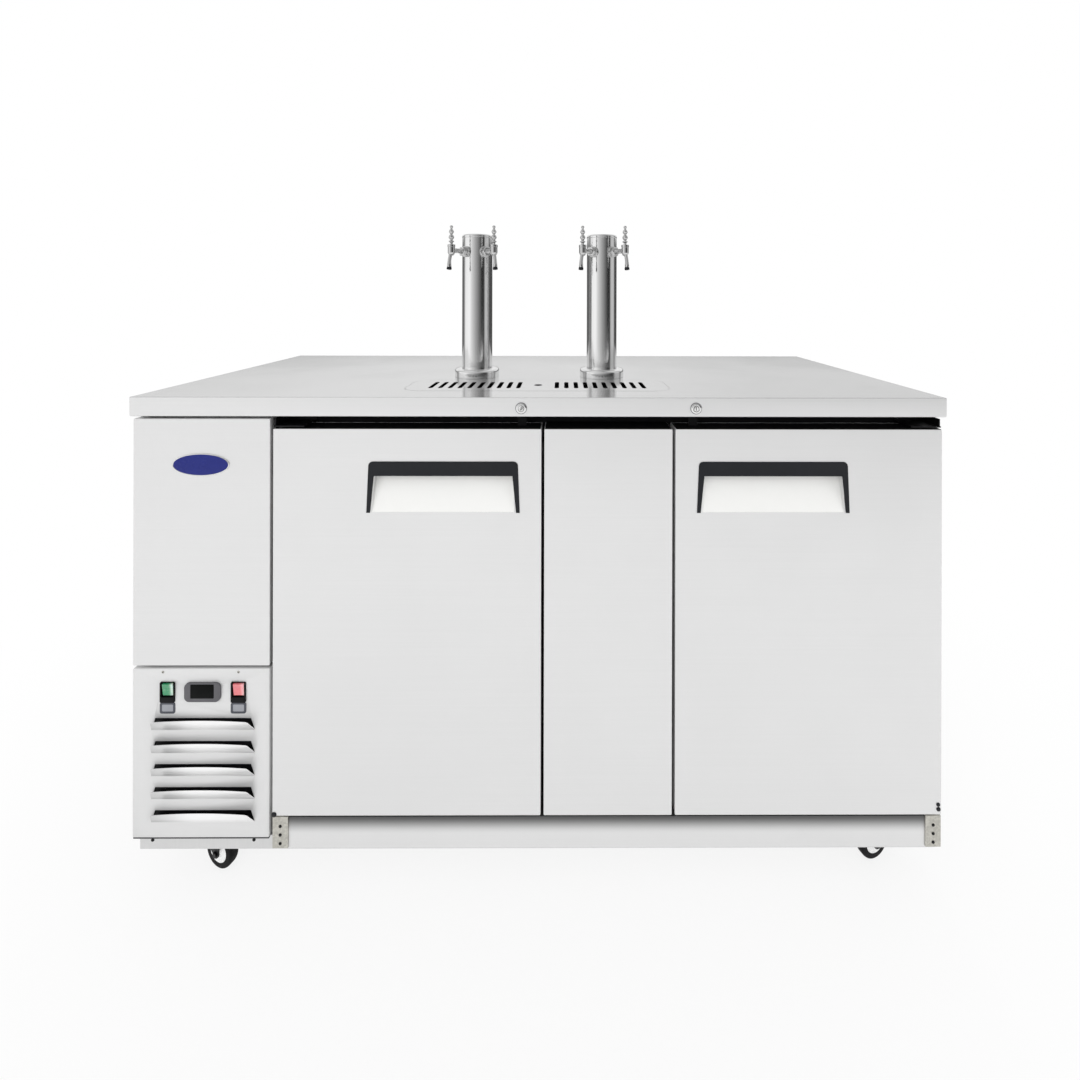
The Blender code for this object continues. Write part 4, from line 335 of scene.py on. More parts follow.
ALONG_X = (9, 1100, 1100)
ALONG_Z = (1100, 1100, 9)
FINISHES = {
    "panel": steel("satin steel panel", 228, 0.36, ALONG_X, metallic=0.62, spread=0.015, marks=0.05),
    "vent": steel("satin steel vent panel", 223, 0.5, ALONG_X, metallic=0.3, spread=0.012, marks=0.05),
    # The louvre steel is a brighter copy of the vent panel's steel, with a painted highlight and shade laid on by
    # place.
    "louvre": tinted(steel("satin steel louvre with painted highlight", 255, 0.3, ALONG_X, metallic=0.5, spread=0.01, marks=0.02),
                     louvre_painted_light),
    # Painted shadow: the kick plate steel darkens towards the doors above it.
    "kick_plate": tinted(steel("satin steel kick plate with painted shadow", 228, 0.36, ALONG_X, metallic=0.62, spread=0.015),
                         kick_plate_shade),
    "body": steel("satin steel body", 218, 0.4, ALONG_Z, metallic=0.7, spread=0.03),
    # Painted shade: the worktop steel darkens towards its ends.
    "worktop": tinted(steel("satin steel worktop", 215, 0.12, ALONG_X, metallic=0.95, spread=0.02, depth=0.000004,
                            marks=0.03), worktop_shade),
    "polished": steel("polished steel", 232, 0.11, ALONG_Z, spread=0.01, depth=0, marks=0.02),
    "chrome": steel("chrome plate", 205, 0.08, ALONG_Z, spread=0.02, depth=0, marks=0.03),
    "zinc": zinc("zinc plate", colour(196, 194, 186), 0.42),
    "black_plastic": plastic("satin black plastic", colour(19, 21, 26), 0.4, shine=0.3),
    # Near-black plastic; on the upward faces of the doors and centre panel it is painted shade, and on the face
    # frame it is both the frame's own black and painted shade for the recess above the doors.
    "frame_plastic_and_painted_shade": plastic("black face frame plastic and painted shade", colour(12, 12, 14), 0.6, shine=0.15),
    "bezel_plastic": plastic("dark grey bezel plastic", colour(86, 85, 89), 0.42),
    "white_plastic": plastic("white moulded plastic", colour(234, 234, 232), 0.4, variety=0.01, shine=0.25),
    "liner": plastic("white liner", colour(232, 233, 234), 0.42, scale=900.0, variety=0.015),
    "gasket": plastic("gasket vinyl", colour(42, 43, 46), 0.6),
    "black_paint": plastic("black enamel", colour(12, 12, 14), 0.35, scale=700.0, shine=0.25),
    "tyre": rubber("tyre rubber", colour(13, 13, 15), 0.6, 0.06),
    "housing_plastic": plastic("black housing plastic", colour(10, 10, 12), 0.45, shine=0.12),
    "rim": plastic("white nylon rim", colour(252, 252, 252), 0.34, variety=0.01),
    "window": plastic("smoked window", colour(6, 7, 7), 0.5, scale=2500.0, depth=0.000002, shine=0.08),
    # The second colour of each lens is its painted highlight.
    "green": lens("green rocker lens", colour(30, 140, 90), colour(226, 244, 234), CONTROLS_X - SWITCH_SPREAD),
    "red": lens("red rocker lens", colour(228, 120, 126), colour(246, 190, 192), CONTROLS_X + SWITCH_SPREAD),
    "label": plastic("grey label plate", colour(150, 152, 158), 0.4, variety=0.06),
    "label_edge": plastic("dark label frame", colour(70, 72, 80), 0.42),
    "badge": plastic("deep blue enamel", colour(34, 42, 116), 0.3, scale=1800.0, depth=0.000004, coat=0.12,
                     shine=0.15),
    "dark_hole": plastic("recess shadow black", colour(12, 12, 13), 0.7),
}

DRESS = {
    "body": ("cabinet_case", "base_frame"),
    "zinc": ("lower_hinge_left", "lower_hinge_right"),
    # The face frame's black is also painted shade for the recess above the doors.
    "frame_plastic_and_painted_shade": ("front_frame", "lock_strike_left", "lock_strike_right"),
    "liner": ("insulated_liner", "insulated_liner_top", "door_liner_left", "door_liner_right",
              "evaporator_housing"),
    "gasket": ("door_gasket_left", "door_gasket_right"),
    "black_paint": ("upper_hinge_left", "upper_hinge_right", "compressor", "condenser"),
    "black_plastic": ("condenser_fan", "evaporator_fan"),
}
for finish_name, members in DRESS.items():
    for member in members:
        nodes[member].data.materials.clear()
        nodes[member].data.materials.append(FINISHES[finish_name])


def add_piece(name, bm, finish, body, replaces=(), angle=38):
    """Make a visible piece that rides on a body."""
    bmesh.ops.recalc_face_normals(bm, faces=bm.faces)
    mesh = bpy.data.meshes.new(name)
    bm.to_mesh(mesh)
    bm.free()
    made = bpy.data.objects.new(name, mesh)
    bpy.context.scene.collection.objects.link(made)
    mesh.materials.append(FINISHES[finish])
    mesh.shade_smooth()
    mesh.set_sharp_from_angle(angle=math.radians(angle))
    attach(made, body)
    if replaces:
        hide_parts(*replaces)
    return made


def middle(node):
    """The centre of a node's box."""
    low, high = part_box(node)
    return (low + high) / 2


def facing_up(face):
    return face.normal.z > 0.9


def upright(face):
    return face.normal.z < 0.5


def refinished(made, finish, chosen):
    """Give some faces of a piece a second finish."""
    made.data.materials.append(FINISHES[finish])
    for face in made.data.polygons:
        if chosen(face):
            face.material_index = 1


def softened(node, finish, body, width=0.0, angle=60):
    """A copy of a node with its bends shaded round, and its sharp edges rolled where a width is given."""
    bm = bmesh.new()
    bm.from_mesh(nodes[node].data)
    bmesh.ops.remove_doubles(bm, verts=bm.verts, dist=0.000002)
    bmesh.ops.dissolve_limit(bm, angle_limit=math.radians(0.3), verts=bm.verts, edges=bm.edges)
    made = add_piece(f"{node}_shaped", bm, finish, body, (node,), angle)
    if width:
        roll = made.modifiers.new("rolled edges", "BEVEL")
        roll.width = width
        roll.segments = 3
        roll.limit_method = "ANGLE"
        roll.angle_limit = math.radians(30)
        roll.use_clamp_overlap = True
        roll.harden_normals = True
    even = made.modifiers.new("even shading", "WEIGHTED_NORMAL")
    even.keep_sharp = True
    return made


def lathe(bm, profile, steps, place=Matrix()):
    """Turn a profile of (radius, height) about the place's Z axis; it closes where it meets the axis."""
    rings = []
    for radius, height in profile:
        count = steps if radius > 0.000001 else 1
        angles = [math.tau * step / steps for step in range(count)]
        rings.append([bm.verts.new(place @ Vector((radius * math.cos(a), radius * math.sin(a), height)))
                      for a in angles])
    if profile[0][0] > 0.000001:
        rings.append(rings[0])
    for low, high in zip(rings, rings[1:]):
        for step in range(steps):
            corners = [low[step % len(low)], low[(step + 1) % len(low)],
                       high[(step + 1) % len(high)], high[step % len(high)]]
            corners = list(dict.fromkeys(corners))
            if len(corners) > 2:
                bm.faces.new(corners)


def eased(profile, radius, steps=3):
    """The same outline with its corners rounded."""
    points = [profile[0]]
    for before, corner, after in zip(profile, profile[1:], profile[2:]):
        before, corner, after = Vector(before), Vector(corner), Vector(after)
        room = min(radius, (before - corner).length * 0.45, (after - corner).length * 0.45)
        start = corner + (before - corner).normalized() * room
        end = corner + (after - corner).normalized() * room
        for step in range(steps + 1):
            t = step / steps
            points.append(tuple(start * (1 - t) ** 2 + corner * 2 * t * (1 - t) + end * t ** 2))
    return points + [profile[-1]]


def pointing(place, direction):
    """A frame at a place whose Z axis points along a direction."""
    return Matrix.Translation(place) @ Vector(direction).to_track_quat("Z", "Y").to_matrix().to_4x4()


def tube(bm, path, radii, steps):
    """A round tube with closed ends through a row of points."""
    rings = []
    for index, (point, radius) in enumerate(zip(path, radii)):
        ahead = Vector(path[min(index + 1, len(path) - 1)]) - Vector(path[max(index - 1, 0)])
        place = pointing(point, ahead)
        rings.append([bm.verts.new(place @ Vector((radius * math.cos(a), radius * math.sin(a), 0)))
                      for a in (math.tau * step / steps for step in range(steps))])
    for low, high in zip(rings, rings[1:]):
        for step in range(steps):
            following = (step + 1) % steps
            bm.faces.new((low[step], low[following], high[following], high[step]))
    bm.faces.new(rings[0][::-1])
    bm.faces.new(rings[-1])


def corner_loop(bm, centre, size, corner, inset, depth, dish=None):
    """One round-cornered outline at a depth, drawn in by an inset; dish(u, v) adds to its depth."""
    half_w, half_h, radius = size[0] / 2 - inset, size[1] / 2 - inset, max(corner - inset, 0.0002)
    loop = []
    for index, (sx, sz) in enumerate(((1, 1), (-1, 1), (-1, -1), (1, -1))):
        for step in range(7):
            a = math.pi / 2 * (index + step / 6)
            u = sx * (half_w - radius) + radius * math.cos(a)
            v = sz * (half_h - radius) + radius * math.sin(a)
            loop.append(bm.verts.new((centre[0] + u, depth + (dish(u, v) if dish else 0), centre[1] + v)))
    return loop


def skin(bm, loops):
    """Close a stack of outlines with a side between each two and a face at each end."""
    for low, high in zip(loops, loops[1:]):
        for step in range(len(low)):
            following = (step + 1) % len(low)
            bm.faces.new((low[step], low[following], high[following], high[step]))
    bm.faces.new(loops[0])
    bm.faces.new(loops[-1][::-1])


def stacked_plate(bm, centre, size, corner, levels, dish=None):
    """A round-cornered plate in the XZ plane, skinned through levels of (inset, Y)."""
    skin(bm, [corner_loop(bm, centre, size, corner, inset, depth, dish) for inset, depth in levels])


def bezel(bm, centre, size, corner, proud, body, depth, well_centre, well, floor):
    """A snap-in housing: a body behind the panel, a rimmed front, and a well sunk in it."""
    front = DOOR_FACE - proud
    loops = [corner_loop(bm, centre, body, 0.001, 0, DOOR_FACE + depth),
             corner_loop(bm, centre, body, 0.001, 0, DOOR_FACE - 0.0001)]
    for inset, back in ((0, proud - 0.0001), (0, 0.0007), (0.0002, 0.0002), (0.0007, 0)):
        loops.append(corner_loop(bm, centre, size, corner, inset, front + back))
    for inset, back in ((-0.0003, 0), (0, 0.0003), (0, floor)):
        loops.append(corner_loop(bm, well_centre, well, 0.001, inset, front + back))
    skin(bm, loops)


def rounded_plate(bm, centre, size, corner, face, back, edge=0.0006):
    """A plate with round corners that stands off a front face; its own front edge is eased."""
    levels = ((0, back), (0, face + edge), (edge * 0.3, face + edge * 0.3), (edge, face))
    stacked_plate(bm, centre, size, corner, levels)


def screw(bm, slot_bm, place, radius, rise):
    """A pan-head screw and the cross of its driver recess."""
    head = [(0, 0), (radius, 0), (radius, rise * 0.35), (radius * 0.72, rise * 0.85), (0, rise)]
    lathe(bm, eased(head, radius * 0.3), 20, place)
    for turn in (0, math.pi / 2):
        arm = place @ Matrix.Translation((0, 0, rise * 0.86)) @ Matrix.Rotation(turn + 0.35, 4, "Z")
        size = Matrix.Diagonal((radius * 1.05, radius * 0.22, rise * 0.36, 1))
        bmesh.ops.create_cube(slot_bm, size=1, matrix=arm @ size)


def dress_screws(name, places, radius, rise, finish, body):
    """A row of screws, each at a place and along the way that its head faces."""
    heads, crosses = bmesh.new(), bmesh.new()
    for place, direction in places:
        screw(heads, crosses, pointing(place, direction), radius, rise)
    add_piece(f"{name}_heads", heads, finish, body)
    add_piece(f"{name}_recesses", crosses, "dark_hole", body)


# Sheet-metal work
refinished(softened("worktop", "worktop", "cabinet"), "panel", upright)
softened("drain_grille", "worktop", "grille")
# Painted shade: the drip pan's inside is black so the grille's slots read dark; its faces that point up take the
# worktop steel.
refinished(softened("drip_pan", "dark_hole", "cabinet"), "worktop", facing_up)
softened("upper_cover", "panel", "cabinet")
# Painted shade: the centre panel's upward faces are black.
refinished(softened("centre_panel", "panel", "cabinet"), "frame_plastic_and_painted_shade", facing_up)
softened("kick_plate", "kick_plate", "cabinet")
for side in SIDES:
    # Painted shade: the door skins' upward faces are black.
    refinished(softened(f"door_skin_{side}", "panel", f"door_{side}"), "frame_plastic_and_painted_shade", facing_up)
    softened(f"handle_pocket_{side}", "white_plastic", f"door_{side}")
    softened(f"door_handle_{side}", "black_plastic", f"door_{side}", 0.0008)
    softened(f"lock_plug_{side}", "polished", f"lock_turn_{side}")


def dress_louvres():
    """The vent panel with a black sheet behind it that stands in for the shade inside, and each flap rolled out on
    a soft bend with round corners.
    """
    bm = bmesh.new()
    bm.from_mesh(nodes["louvre_panel"].data)
    proud = [vert for vert in bm.verts if vert.co.y < DOOR_FACE - 0.0004]
    bmesh.ops.delete(bm, geom=proud, context="VERTS")
    bmesh.ops.remove_doubles(bm, verts=bm.verts, dist=0.000002)
    add_piece("vent_panel", bm, "vent", "cabinet", ("louvre_panel",), 60)

    # Painted shade: a black sheet just behind the vent panel darkens what shows through the slits.
    bm = bmesh.new()
    rounded_plate(bm, (CONTROLS_X, 0.255), (0.234, 0.238), 0.004, DOOR_FACE + 0.0016, DOOR_FACE + 0.0036,
                  0.0003)
    add_piece("vent_shade_sheet", bm, "housing_plastic", "cabinet")

    bm = bmesh.new()
    half_foot, reach, gauge = 0.111, 0.0118, 0.0009
    rows, columns = 14, 40
    for louvre in range(LOUVRES):
        fold = LOUVRE_TOP - LOUVRE_RISE - LOUVRE_PITCH * louvre
        skins = []
        for back in (0, gauge):
            grid = []
            for row in range(rows + 1):
                share = row / rows
                out = reach * (1 - (1 - share) ** 1.5) * (0.25 + 0.75 * share ** 0.4)
                lip = max(0.0, share - 0.8) / 0.2
                rounding = 0.0035 * (1 - math.sqrt(1 - lip ** 2))
                line = []
                for column in range(columns + 1):
                    u = 2 * column / columns - 1
                    half = half_foot - (0.0072 if u < 0 else 0.0102) * share - rounding
                    bow = 1 - 0.3 * (1 - u ** 2)
                    line.append(bm.verts.new((CONTROLS_X + half * u, DOOR_FACE - out * bow + back,
                                              fold + LOUVRE_RISE * share)))
                grid.append(line)
            for low, high in zip(grid, grid[1:]):
                for column in range(columns):
                    bm.faces.new((low[column], low[column + 1], high[column + 1], high[column]))
            skins.append(grid)
        front, rear = skins
        rim = [[grid[0][c] for c in range(columns)] + [grid[r][-1] for r in range(rows)]
               + [grid[-1][c] for c in range(columns, 0, -1)] + [grid[r][0] for r in range(rows, 0, -1)]
               for grid in (front, rear)]
        for step in range(len(rim[0])):
            following = (step + 1) % len(rim[0])
            bm.faces.new((rim[0][step], rim[0][following], rim[1][following], rim[1][step]))
    add_piece("louvre_flaps", bm, "louvre", "cabinet")

    # Painted shade: a black strip along the vent panel's lower edge.
    bm = bmesh.new()
    low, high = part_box("louvre_panel")
    rounded_plate(bm, ((low.x + high.x) / 2, low.z - 0.0014), (high.x - low.x - 0.002, 0.0034), 0.0005,
                  DOOR_FACE + 0.0012, DOOR_FACE + 0.005, 0.0002)
    add_piece("vent_panel_shade_strip", bm, "gasket", "cabinet")


def dress_towers():
    """Polished columns on round-shouldered flanges, each under a shallow cap."""
    height = COLUMN_HEIGHT
    for side in SIDES:
        centre = middle(f"tower_column_{side}")
        place = Matrix.Translation((centre.x, centre.y, WORKTOP_TOP + 0.0003))
        inside = [(0, height - 0.012), (0.038, height - 0.012), (0.038, 0), (FLANGE_RADIUS, 0)]
        shoulder = [(FLANGE_RADIUS, 0.0002), (FLANGE_RADIUS, FLANGE_HEIGHT), (0.0418, FLANGE_HEIGHT)]
        foot = eased(shoulder, 0.009, 8)
        fold = [(0.0418, FLANGE_HEIGHT), (COLUMN_RADIUS, FLANGE_HEIGHT), (COLUMN_RADIUS, 0.03)]
        wall = eased(fold, 0.0014, 4)
        seam = [(COLUMN_RADIUS, height - 0.0014), (0.0393, height - 0.0008), (0.0393, height - 0.0001)]
        cap = [(0.0393, height), (0.0406, height + 0.0001), (0.0406, height + 0.0052),
               (0.0385, height + 0.0078), (0.022, height + 0.0088), (0, height + 0.009)]
        bm = bmesh.new()
        lathe(bm, inside + foot + wall[1:] + seam + eased(cap, 0.0022, 4)[1:], 96, place)
        node = f"tower_column_{side}"
        add_piece(f"tower_{side}_turned", bm, "polished", "cabinet", (node,))


def dress_faucets():
    """Chromed faucets: shank, collar, nut, body, spout, and the turned lever above."""
    for name, (side, spread) in FAUCETS.items():
        centre = middle(f"tower_column_{side}")
        turn = Matrix.Rotation(math.radians(spread - 90), 4, "Z")
        outward = Matrix.Translation((centre.x, centre.y, SHANK_HEIGHT)) @ turn
        shank = outward @ pointing((0, 0, 0), (1, 0, 0))
        node = f"faucet_{name}"
        bm = bmesh.new()
        stem = [(0, 0.028), (0.0105, 0.028), (0.0105, 0.0402), (0.0145, 0.0402), (0.0145, 0.0466),
                (0.0105, 0.047), (0.0105, 0.048), (0.0118, 0.0483), (0.0118, 0.049), (0, 0.049)]
        lathe(bm, eased(stem, 0.0012), 40, shank)
        nut = [(0, 0.0484), (0.0124, 0.0484), (0.0128, 0.0492), (0.0128, 0.0564), (0.0112, 0.0578), (0, 0.0578)]
        lathe(bm, nut, 6, shank)
        neck = [(0, 0.056), (0.0084, 0.056), (0.0072, 0.060), (0.0062, 0.067), (0.006, 0.074), (0.0068, 0.081),
                (0.007, 0.087), (0, 0.087)]
        lathe(bm, eased(neck, 0.003, 4), 32, shank)
        cup = outward @ Matrix.Translation((FAUCET_REACH, 0, 0))
        body = [(0, -0.0135), (0.0052, -0.013), (0.0074, -0.0105), (0.0089, -0.006), (0.0089, 0.0085),
                (0.0096, 0.0088), (0.0096, 0.0142), (0.0092, 0.015), (0.0082, 0.015), (0.0082, 0.0027),
                (0, 0.0027)]
        lathe(bm, eased(body, 0.0009), 40, cup)
        tilt = math.radians(SPOUT_TILT)
        down = Vector((math.sin(tilt), 0, -math.cos(tilt)))
        points, radii = [], []
        for step in range(13):
            share = step / 12
            sag = Vector((0.0022 * math.sin(math.pi * share), 0, 0))
            points.append(cup @ (down * (0.004 + 0.0415 * share) + sag))
            radii.append(0.0052 - 0.0009 * math.sin(math.pi * min(share * 1.25, 1)))
        tube(bm, points, radii, 32)
        add_piece(f"{node}_turned", bm, "chrome", "cabinet", (node,))

        bm = bmesh.new()
        spout = cup @ pointing(down * 0.0445, down)
        lip = [(0.0034, -0.0105), (0.0054, -0.001), (0.0062, 0.0006), (0.0063, 0.0046), (0.0056, 0.0055),
               (0.0034, 0.0055)]
        lathe(bm, eased(lip, 0.0006), 32, spout)
        add_piece(f"{node}_spout_tip", bm, "black_plastic", "cabinet")

        bm = bmesh.new()
        pivot_z, ball = 0.008, 0.005
        grip_start = 0.015 + ball
        length = LEVER_LENGTH - (grip_start - pivot_z + ball)
        shares = ((0.5, -0.1), (0.52, 0.0), (1.0, 0.035), (1.0, 0.09), (0.55, 0.13), (0.5, 0.17), (0.9, 0.23),
                  (1.0, 0.32), (0.9, 0.4), (0.5, 0.46), (0.48, 0.5), (0.82, 0.56), (0.95, 0.64), (0.75, 0.72),
                  (0.42, 0.78), (0.38, 0.84), (0.6, 0.88), (0.62, 0.94), (0.4, 0.99), (0, 1.0))
        profile = [(ball * math.sin(a), pivot_z - ball * math.cos(a))
                   for a in (math.radians(140) * step / 8 for step in range(9))]
        profile += [(0.0068 * r, grip_start + length * h) for r, h in shares]
        lathe(bm, eased(profile, 0.0012, 2), 28, cup)
        lever = f"faucet_lever_{name}"
        add_piece(f"{lever}_turned", bm, "chrome", f"lever_{name}", (lever,))


def dress_casters():
    """Tyres on white rims between painted forks, with black axle bolts."""
    for name in CASTERS:
        joint = joints[f"caster_{name}_roll"]
        axle = pointing(joint["pos_m"], joint["axis"])
        wheel, swivel = f"wheel_{name}", f"swivel_{name}"
        node = f"caster_wheel_{name}"
        tyre = [(0.0238, 0.0104), (0.0335, 0.0108), (0.0365, 0.0095), (0.038, 0.0055), (0.038, -0.0055),
                (0.0365, -0.0095), (0.0335, -0.0108), (0.0238, -0.0104)]
        bm = bmesh.new()
        lathe(bm, [tyre[0]] + eased(tyre[1:-1], 0.002) + [tyre[-1]], 64, axle)
        add_piece(f"caster_tyre_{name}", bm, "tyre", wheel, (node,))
        half = [(0.0048, 0.0135), (0.0095, 0.0135), (0.0098, 0.0108), (0.0125, 0.0088), (0.0205, 0.0086),
                (0.0222, 0.0106), (0.0238, 0.0106)]
        rim = half + [(radius, -depth) for radius, depth in half[::-1]]
        bm = bmesh.new()
        lathe(bm, [rim[0]] + eased(rim[1:-1], 0.0009) + [rim[-1]], 64, axle)
        add_piece(f"caster_rim_{name}", bm, "rim", wheel)
        softened(f"caster_fork_{name}", "black_paint", swivel, 0.0005)
        for end, direction in (("outer", 1), ("inner", -1)):
            bm = bmesh.new()
            out = axle @ Matrix.Diagonal((1, 1, direction, 1))
            bolt = [(0, 0.0165), (0.0062, 0.0165), (0.0064, 0.0172), (0.0064, 0.0194), (0.0054, 0.0203),
                    (0, 0.0203)]
            lathe(bm, bolt, 6, out)
            add_piece(f"caster_bolt_{end}_{name}", bm, "black_paint", swivel)


def dress_locks():
    """Bright lock rings in the lip, each in a dark washer, with a dark keyway in the plug."""
    for side in SIDES:
        centre = middle(f"lock_housing_{side}")
        node = f"lock_housing_{side}"
        ring = pointing((centre.x, LIP_FACE, centre.z), (0, -1, 0))
        profile = [(0.0064, -0.024), (0.0064, 0.0024), (0.0072, 0.0027), (0.0098, 0.0025), (0.0112, 0.0016),
                   (0.0112, 0.0003), (0.0095, 0.0003), (0.0095, -0.0015), (0.0125, -0.0015), (0.0125, -0.0055),
                   (0.0095, -0.0055), (0.0095, -0.024)]
        bm = bmesh.new()
        lathe(bm, profile, 48, ring)
        add_piece(f"lock_ring_{side}", bm, "polished", "cabinet", (node,))
        bm = bmesh.new()
        washer = [(0.0104, 0.0003), (0.0122, 0.0003), (0.0124, 0.0007), (0.0122, 0.0013), (0.0104, 0.0013)]
        lathe(bm, washer, 48, ring)
        add_piece(f"lock_washer_{side}", bm, "bezel_plastic", "cabinet")
        bm = bmesh.new()
        keyway = [(0, 0.0026), (0.0021, 0.0026), (0.0023, 0.0029), (0.0018, 0.0032), (0, 0.0032)]
        lathe(bm, keyway, 24, ring)
        add_piece(f"lock_keyway_{side}", bm, "dark_hole", f"lock_turn_{side}")


def dress_controls():
    """Switch and controller housings, the smoked window, rocker lenses and blank label plates."""
    for side, finish in (("left", "green"), ("right", "red")):
        x = CONTROLS_X + SIDES[side] * SWITCH_SPREAD
        housing = f"switch_housing_{side}"
        bm = bmesh.new()
        bezel(bm, (x, CONTROLS_Z), SWITCH_FRONT, 0.003, 0.0025, SWITCH_BODY, 0.026, (x, CONTROLS_Z + ROCKER_RISE),
              SWITCH_WELL, 0.012)
        add_piece(f"{housing}_moulded", bm, "housing_plastic", "cabinet", (housing,))
        bm = bmesh.new()
        levels = ((0, 0.0035), (0, -0.0036), (0.0005, -0.0046), (0.0014, -0.005), (0.005, -0.005), (0.009, -0.005))
        half = ROCKER_FRONT[1] / 2
        stacked_plate(bm, (0.0006, 0), ROCKER_FRONT, 0.0012, levels,
                      lambda u, v: ROCKER_DISH * (1 - (v / half) ** 2))
        pivot = Matrix.Translation((x, DOOR_FACE + 0.003, CONTROLS_Z + ROCKER_RISE))
        bmesh.ops.transform(bm, matrix=pivot @ Matrix.Rotation(math.radians(ROCKER_TILT), 4, "X"), verts=bm.verts)
        add_piece(f"rocker_{side}_lens", bm, finish, f"switch_{side}", (f"rocker_{side}",))
        bm = bmesh.new()
        rounded_plate(bm, (x, 0.3884), (0.0325, 0.0232), 0.004, DOOR_FACE - 0.0016, DOOR_FACE)
        add_piece(f"label_frame_{side}", bm, "label_edge", "cabinet")
        bm = bmesh.new()
        rounded_plate(bm, (x + 0.0008, 0.3892), (0.0235, 0.0148), 0.0022, DOOR_FACE - 0.0019, DOOR_FACE - 0.001,
                      0.0003)
        add_piece(f"label_plate_{side}", bm, "label", "cabinet")
    housing = "controller_housing"
    bm = bmesh.new()
    bezel(bm, (CONTROLS_X, CONTROLS_Z + 0.001), CONTROLLER_FRONT, 0.0105, 0.004, CONTROLLER_BODY, 0.055,
          (CONTROLS_X, CONTROLS_Z + WINDOW_RISE), CONTROLLER_WELL, 0.0008)
    add_piece("controller_moulded", bm, "bezel_plastic", "cabinet", (housing,))
    bm = bmesh.new()
    rounded_plate(bm, (CONTROLS_X, CONTROLS_Z + WINDOW_RISE), WINDOW_SIZE, 0.0012, DOOR_FACE - 0.0041,
                  DOOR_FACE - 0.0033, 0.0003)
    add_piece("controller_window", bm, "window", "cabinet")


def dress_badge():
    """A blank oval plate with a bright rim."""
    centre, half_w, half_h = (-0.7247, 0.9096), 0.061, 0.0245

    def oval(inset, rise):
        return [((half_w - inset) * math.cos(a) + centre[0], DOOR_FACE - rise,
                 (half_h - inset) * math.sin(a) + centre[1]) for a in (math.tau * s / 96 for s in range(96))]

    def stack(name, loops, finish):
        bm = bmesh.new()
        rings = [[bm.verts.new(point) for point in loop] for loop in loops]
        for low, high in zip(rings, rings[1:]):
            for step in range(96):
                following = (step + 1) % 96
                bm.faces.new((low[step], low[following], high[following], high[step]))
        bm.faces.new(rings[0])
        bm.faces.new(rings[-1][::-1])
        add_piece(name, bm, finish, "cabinet")

    stack("badge_rim", [oval(0, 0), oval(0, 0.0012), oval(0.0005, 0.002), (oval(0.0016, 0.0022)),
                        oval(0.0024, 0.0016)], "polished")
    stack("badge_field", [oval(0.0022, 0.001), oval(0.0024, 0.0018), oval(0.006, 0.0021), oval(0.015, 0.0024)],
          "badge")


def dress_fastenings():
    """Screws on the panel, the base and the hinge brackets, and the doors' hinge bushes."""
    front = (0, -1, 0)
    panel = [((x, DOOR_FACE, 0.465), front) for x in (-0.805, -0.6436)]
    dress_screws("panel_screws", panel, 0.0028, 0.0014, "zinc", "cabinet")
    base_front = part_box("base_frame")[0].y
    base = [((x, base_front, 0.0985), front) for x in (-0.8313, -0.6136)]
    dress_screws("base_screws", base, 0.0036, 0.0018, "black_paint", "cabinet")
    for side, direction in SIDES.items():
        low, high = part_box(f"lower_hinge_{side}")
        x = (low.x + high.x) / 2
        screws = [((x, low.y, z), front) for z in (0.1315, 0.113, 0.0945)]
        dress_screws(f"hinge_screws_{side}", screws, 0.0034, 0.0016, "black_paint", "cabinet")
        door_low, door_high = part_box(f"door_skin_{side}")
        plugs = [(door_low.x + 0.0044, 0.0036, 0.0054)]
        if side == "right":
            plugs = [(door_high.x - 0.0068, 0.0125, 0.0046), (door_high.x - 0.0074, 0.0225, 0.0042)]
        bm = bmesh.new()
        for x, rise, radius in plugs:
            bush = pointing((x, DOOR_FACE + 0.0005, door_low.z + rise), front)
            dome = [(0, 0), (radius, 0), (radius, 0.0016), (radius / 2, 0.0026), (0, 0.0027)]
            lathe(bm, eased(dome, 0.0008), 32, bush)
        add_piece(f"hinge_plug_{side}", bm, "black_plastic", f"door_{side}")


dress_louvres()
dress_towers()
dress_faucets()
dress_casters()
dress_locks()
dress_controls()
dress_badge()
dress_fastenings()


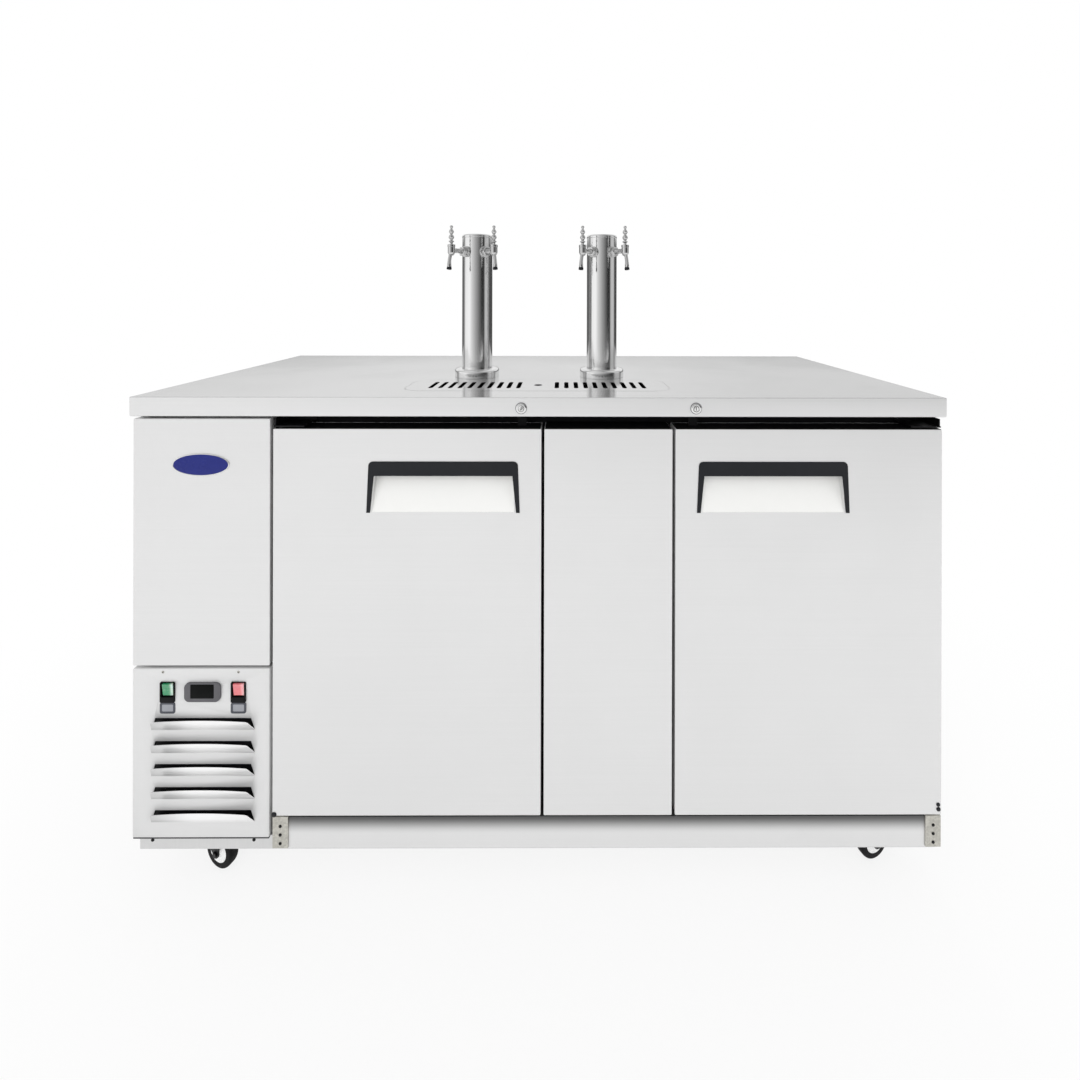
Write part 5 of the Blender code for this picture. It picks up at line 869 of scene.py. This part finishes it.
def build_studio():
    """A pale floor that keeps the cooler's shadow, a soft world and three soft lamps."""
    bm = bmesh.new()
    bmesh.ops.create_grid(bm, x_segments=1, y_segments=1, size=7)
    mesh = bpy.data.meshes.new("studio_floor")
    bm.to_mesh(mesh)
    bm.free()
    floor = bpy.data.objects.new("studio_floor", mesh)
    bpy.context.scene.collection.objects.link(floor)
    material = bpy.data.materials.new("studio floor")
    material.use_nodes = True
    graph = Graph(material.node_tree)
    shader = material.node_tree.nodes["Principled BSDF"]
    shader.inputs["Roughness"].default_value = 0.9
    shader.inputs["Specular IOR Level"].default_value = 0.0
    place = graph.add("TexCoord").outputs["Object"]
    cloud = graph.noise(place, 3.0, 2, 0.5).outputs["Fac"]
    graph.feed(shader.inputs["Base Color"], graph.blend(cloud, (0.9, 0.9, 0.9, 1), (0.93, 0.93, 0.93, 1)))
    path = graph.add("LightPath").outputs
    seen = graph.maths("MAXIMUM", path["Is Glossy Ray"], path["Is Transmission Ray"])
    reach = graph.add("VectorMath", {0: place}, operation="LENGTH").outputs["Value"]
    far = graph.remap(reach, 0.6, 2.0, 0.82, 1.0, smooth=True)
    share = graph.maths("MAXIMUM", graph.maths("MULTIPLY", path["Is Camera Ray"], far),
                        graph.maths("MULTIPLY", seen, 0.7))
    glow = graph.add("Emission", {"Color": (1, 1, 1, 1), "Strength": 1.0}).outputs[0]
    both = graph.add("MixShader", {0: share, 1: shader.outputs[0], 2: glow}).outputs[0]
    graph.feed(material.node_tree.nodes["Material Output"].inputs["Surface"], both)
    mesh.materials.append(material)

    world = bpy.data.worlds.new("studio")
    bpy.context.scene.world = world
    world.use_nodes = True
    graph = Graph(world.node_tree)
    direction = graph.add("TexCoord").outputs["Generated"]
    parts = graph.add("SeparateXYZ", {0: direction}).outputs
    azimuth = graph.maths("ARCTAN2", parts["X"], graph.maths("MULTIPLY", parts["Y"], -1.0))
    turn = graph.remap(azimuth, -math.pi, math.pi)
    ramp = graph.add("ValToRGB", {0: turn})
    bands = ((-180, 0.14), (-128, 0.12), (-108, 0.24), (-92, 1.0), (-52, 1.1), (-30, 0.72), (-2, 0.4),
             (24, 0.16), (42, 0.03), (60, 0.03), (72, 0.58), (98, 0.62), (112, 0.07), (150, 0.08))
    ramp_nodes = ramp.color_ramp.elements
    for index, (angle, level) in enumerate(bands):
        spot = (angle + 180) / 360
        element = ramp_nodes[index] if index < 1 else ramp_nodes.new(spot)
        element.position = spot
        element.color = (level, level, level, 1)
    ramp_nodes[-1].color = (0.14, 0.14, 0.14, 1)
    behind = graph.remap(graph.maths("ABSOLUTE", azimuth), 1.85, 2.2, smooth=True)
    above = graph.remap(parts["Z"], 0.085, 0.115, smooth=True)
    plain_wall = graph.maths("MULTIPLY", behind, above)
    ceiling = graph.remap(parts["Z"], 0.12, 0.24, 0.0, 0.6, smooth=True)
    bands_below = graph.blend(ceiling, ramp.outputs["Color"], (0.6, 0.6, 0.6, 1))
    room = graph.blend(plain_wall, bands_below, (0.9, 0.9, 0.9, 1))
    path = graph.add("LightPath").outputs
    lit = graph.blend(path["Is Glossy Ray"], (0.8, 0.8, 0.8, 1), room)
    plain = graph.maths("MAXIMUM", path["Is Camera Ray"], path["Is Transmission Ray"])
    tone = graph.blend(plain, lit, (1, 1, 1, 1))
    graph.feed(world.node_tree.nodes["Background"].inputs["Color"], tone)

    for name, place, target, size, power in (
        ("key", (-1.2, -3.2, 1.9), (0, -0.2, 0.6), 2.8, 34),
        ("fill", (2.6, -1.8, 2.0), (0, -0.2, 0.6), 2.0, 14),
        ("back", (0.4, 2.8, 2.8), (0, 0.2, 0.8), 2.2, 22),
    ):
        lamp = bpy.data.lights.new(name, "AREA")
        lamp.size = size
        lamp.energy = power
        made = bpy.data.objects.new(name, lamp)
        made.matrix_world = pointing(place, Vector(place) - Vector(target))
        made.visible_camera = False
        made.visible_glossy = False
        bpy.context.scene.collection.objects.link(made)
    bpy.context.scene.view_settings.view_transform = "Standard"


def build_camera():
    """The photograph's view: wide, turned a little to the right and shifted down to frame the cooler."""
    lens_data = bpy.data.cameras.new("front view")
    lens_data.lens = 17.13
    lens_data.sensor_width = 36
    lens_data.shift_x = -0.0241
    lens_data.shift_y = -0.22985
    lens_data.clip_start = 0.01
    camera = bpy.data.objects.new("front view", lens_data)
    camera.location = (0.0518, -1.4593, 1.2818)
    camera.rotation_euler = (math.pi / 2, -0.00234, -0.0043)
    bpy.context.scene.collection.objects.link(camera)
    bpy.context.scene.camera = camera


build_studio()
build_camera()
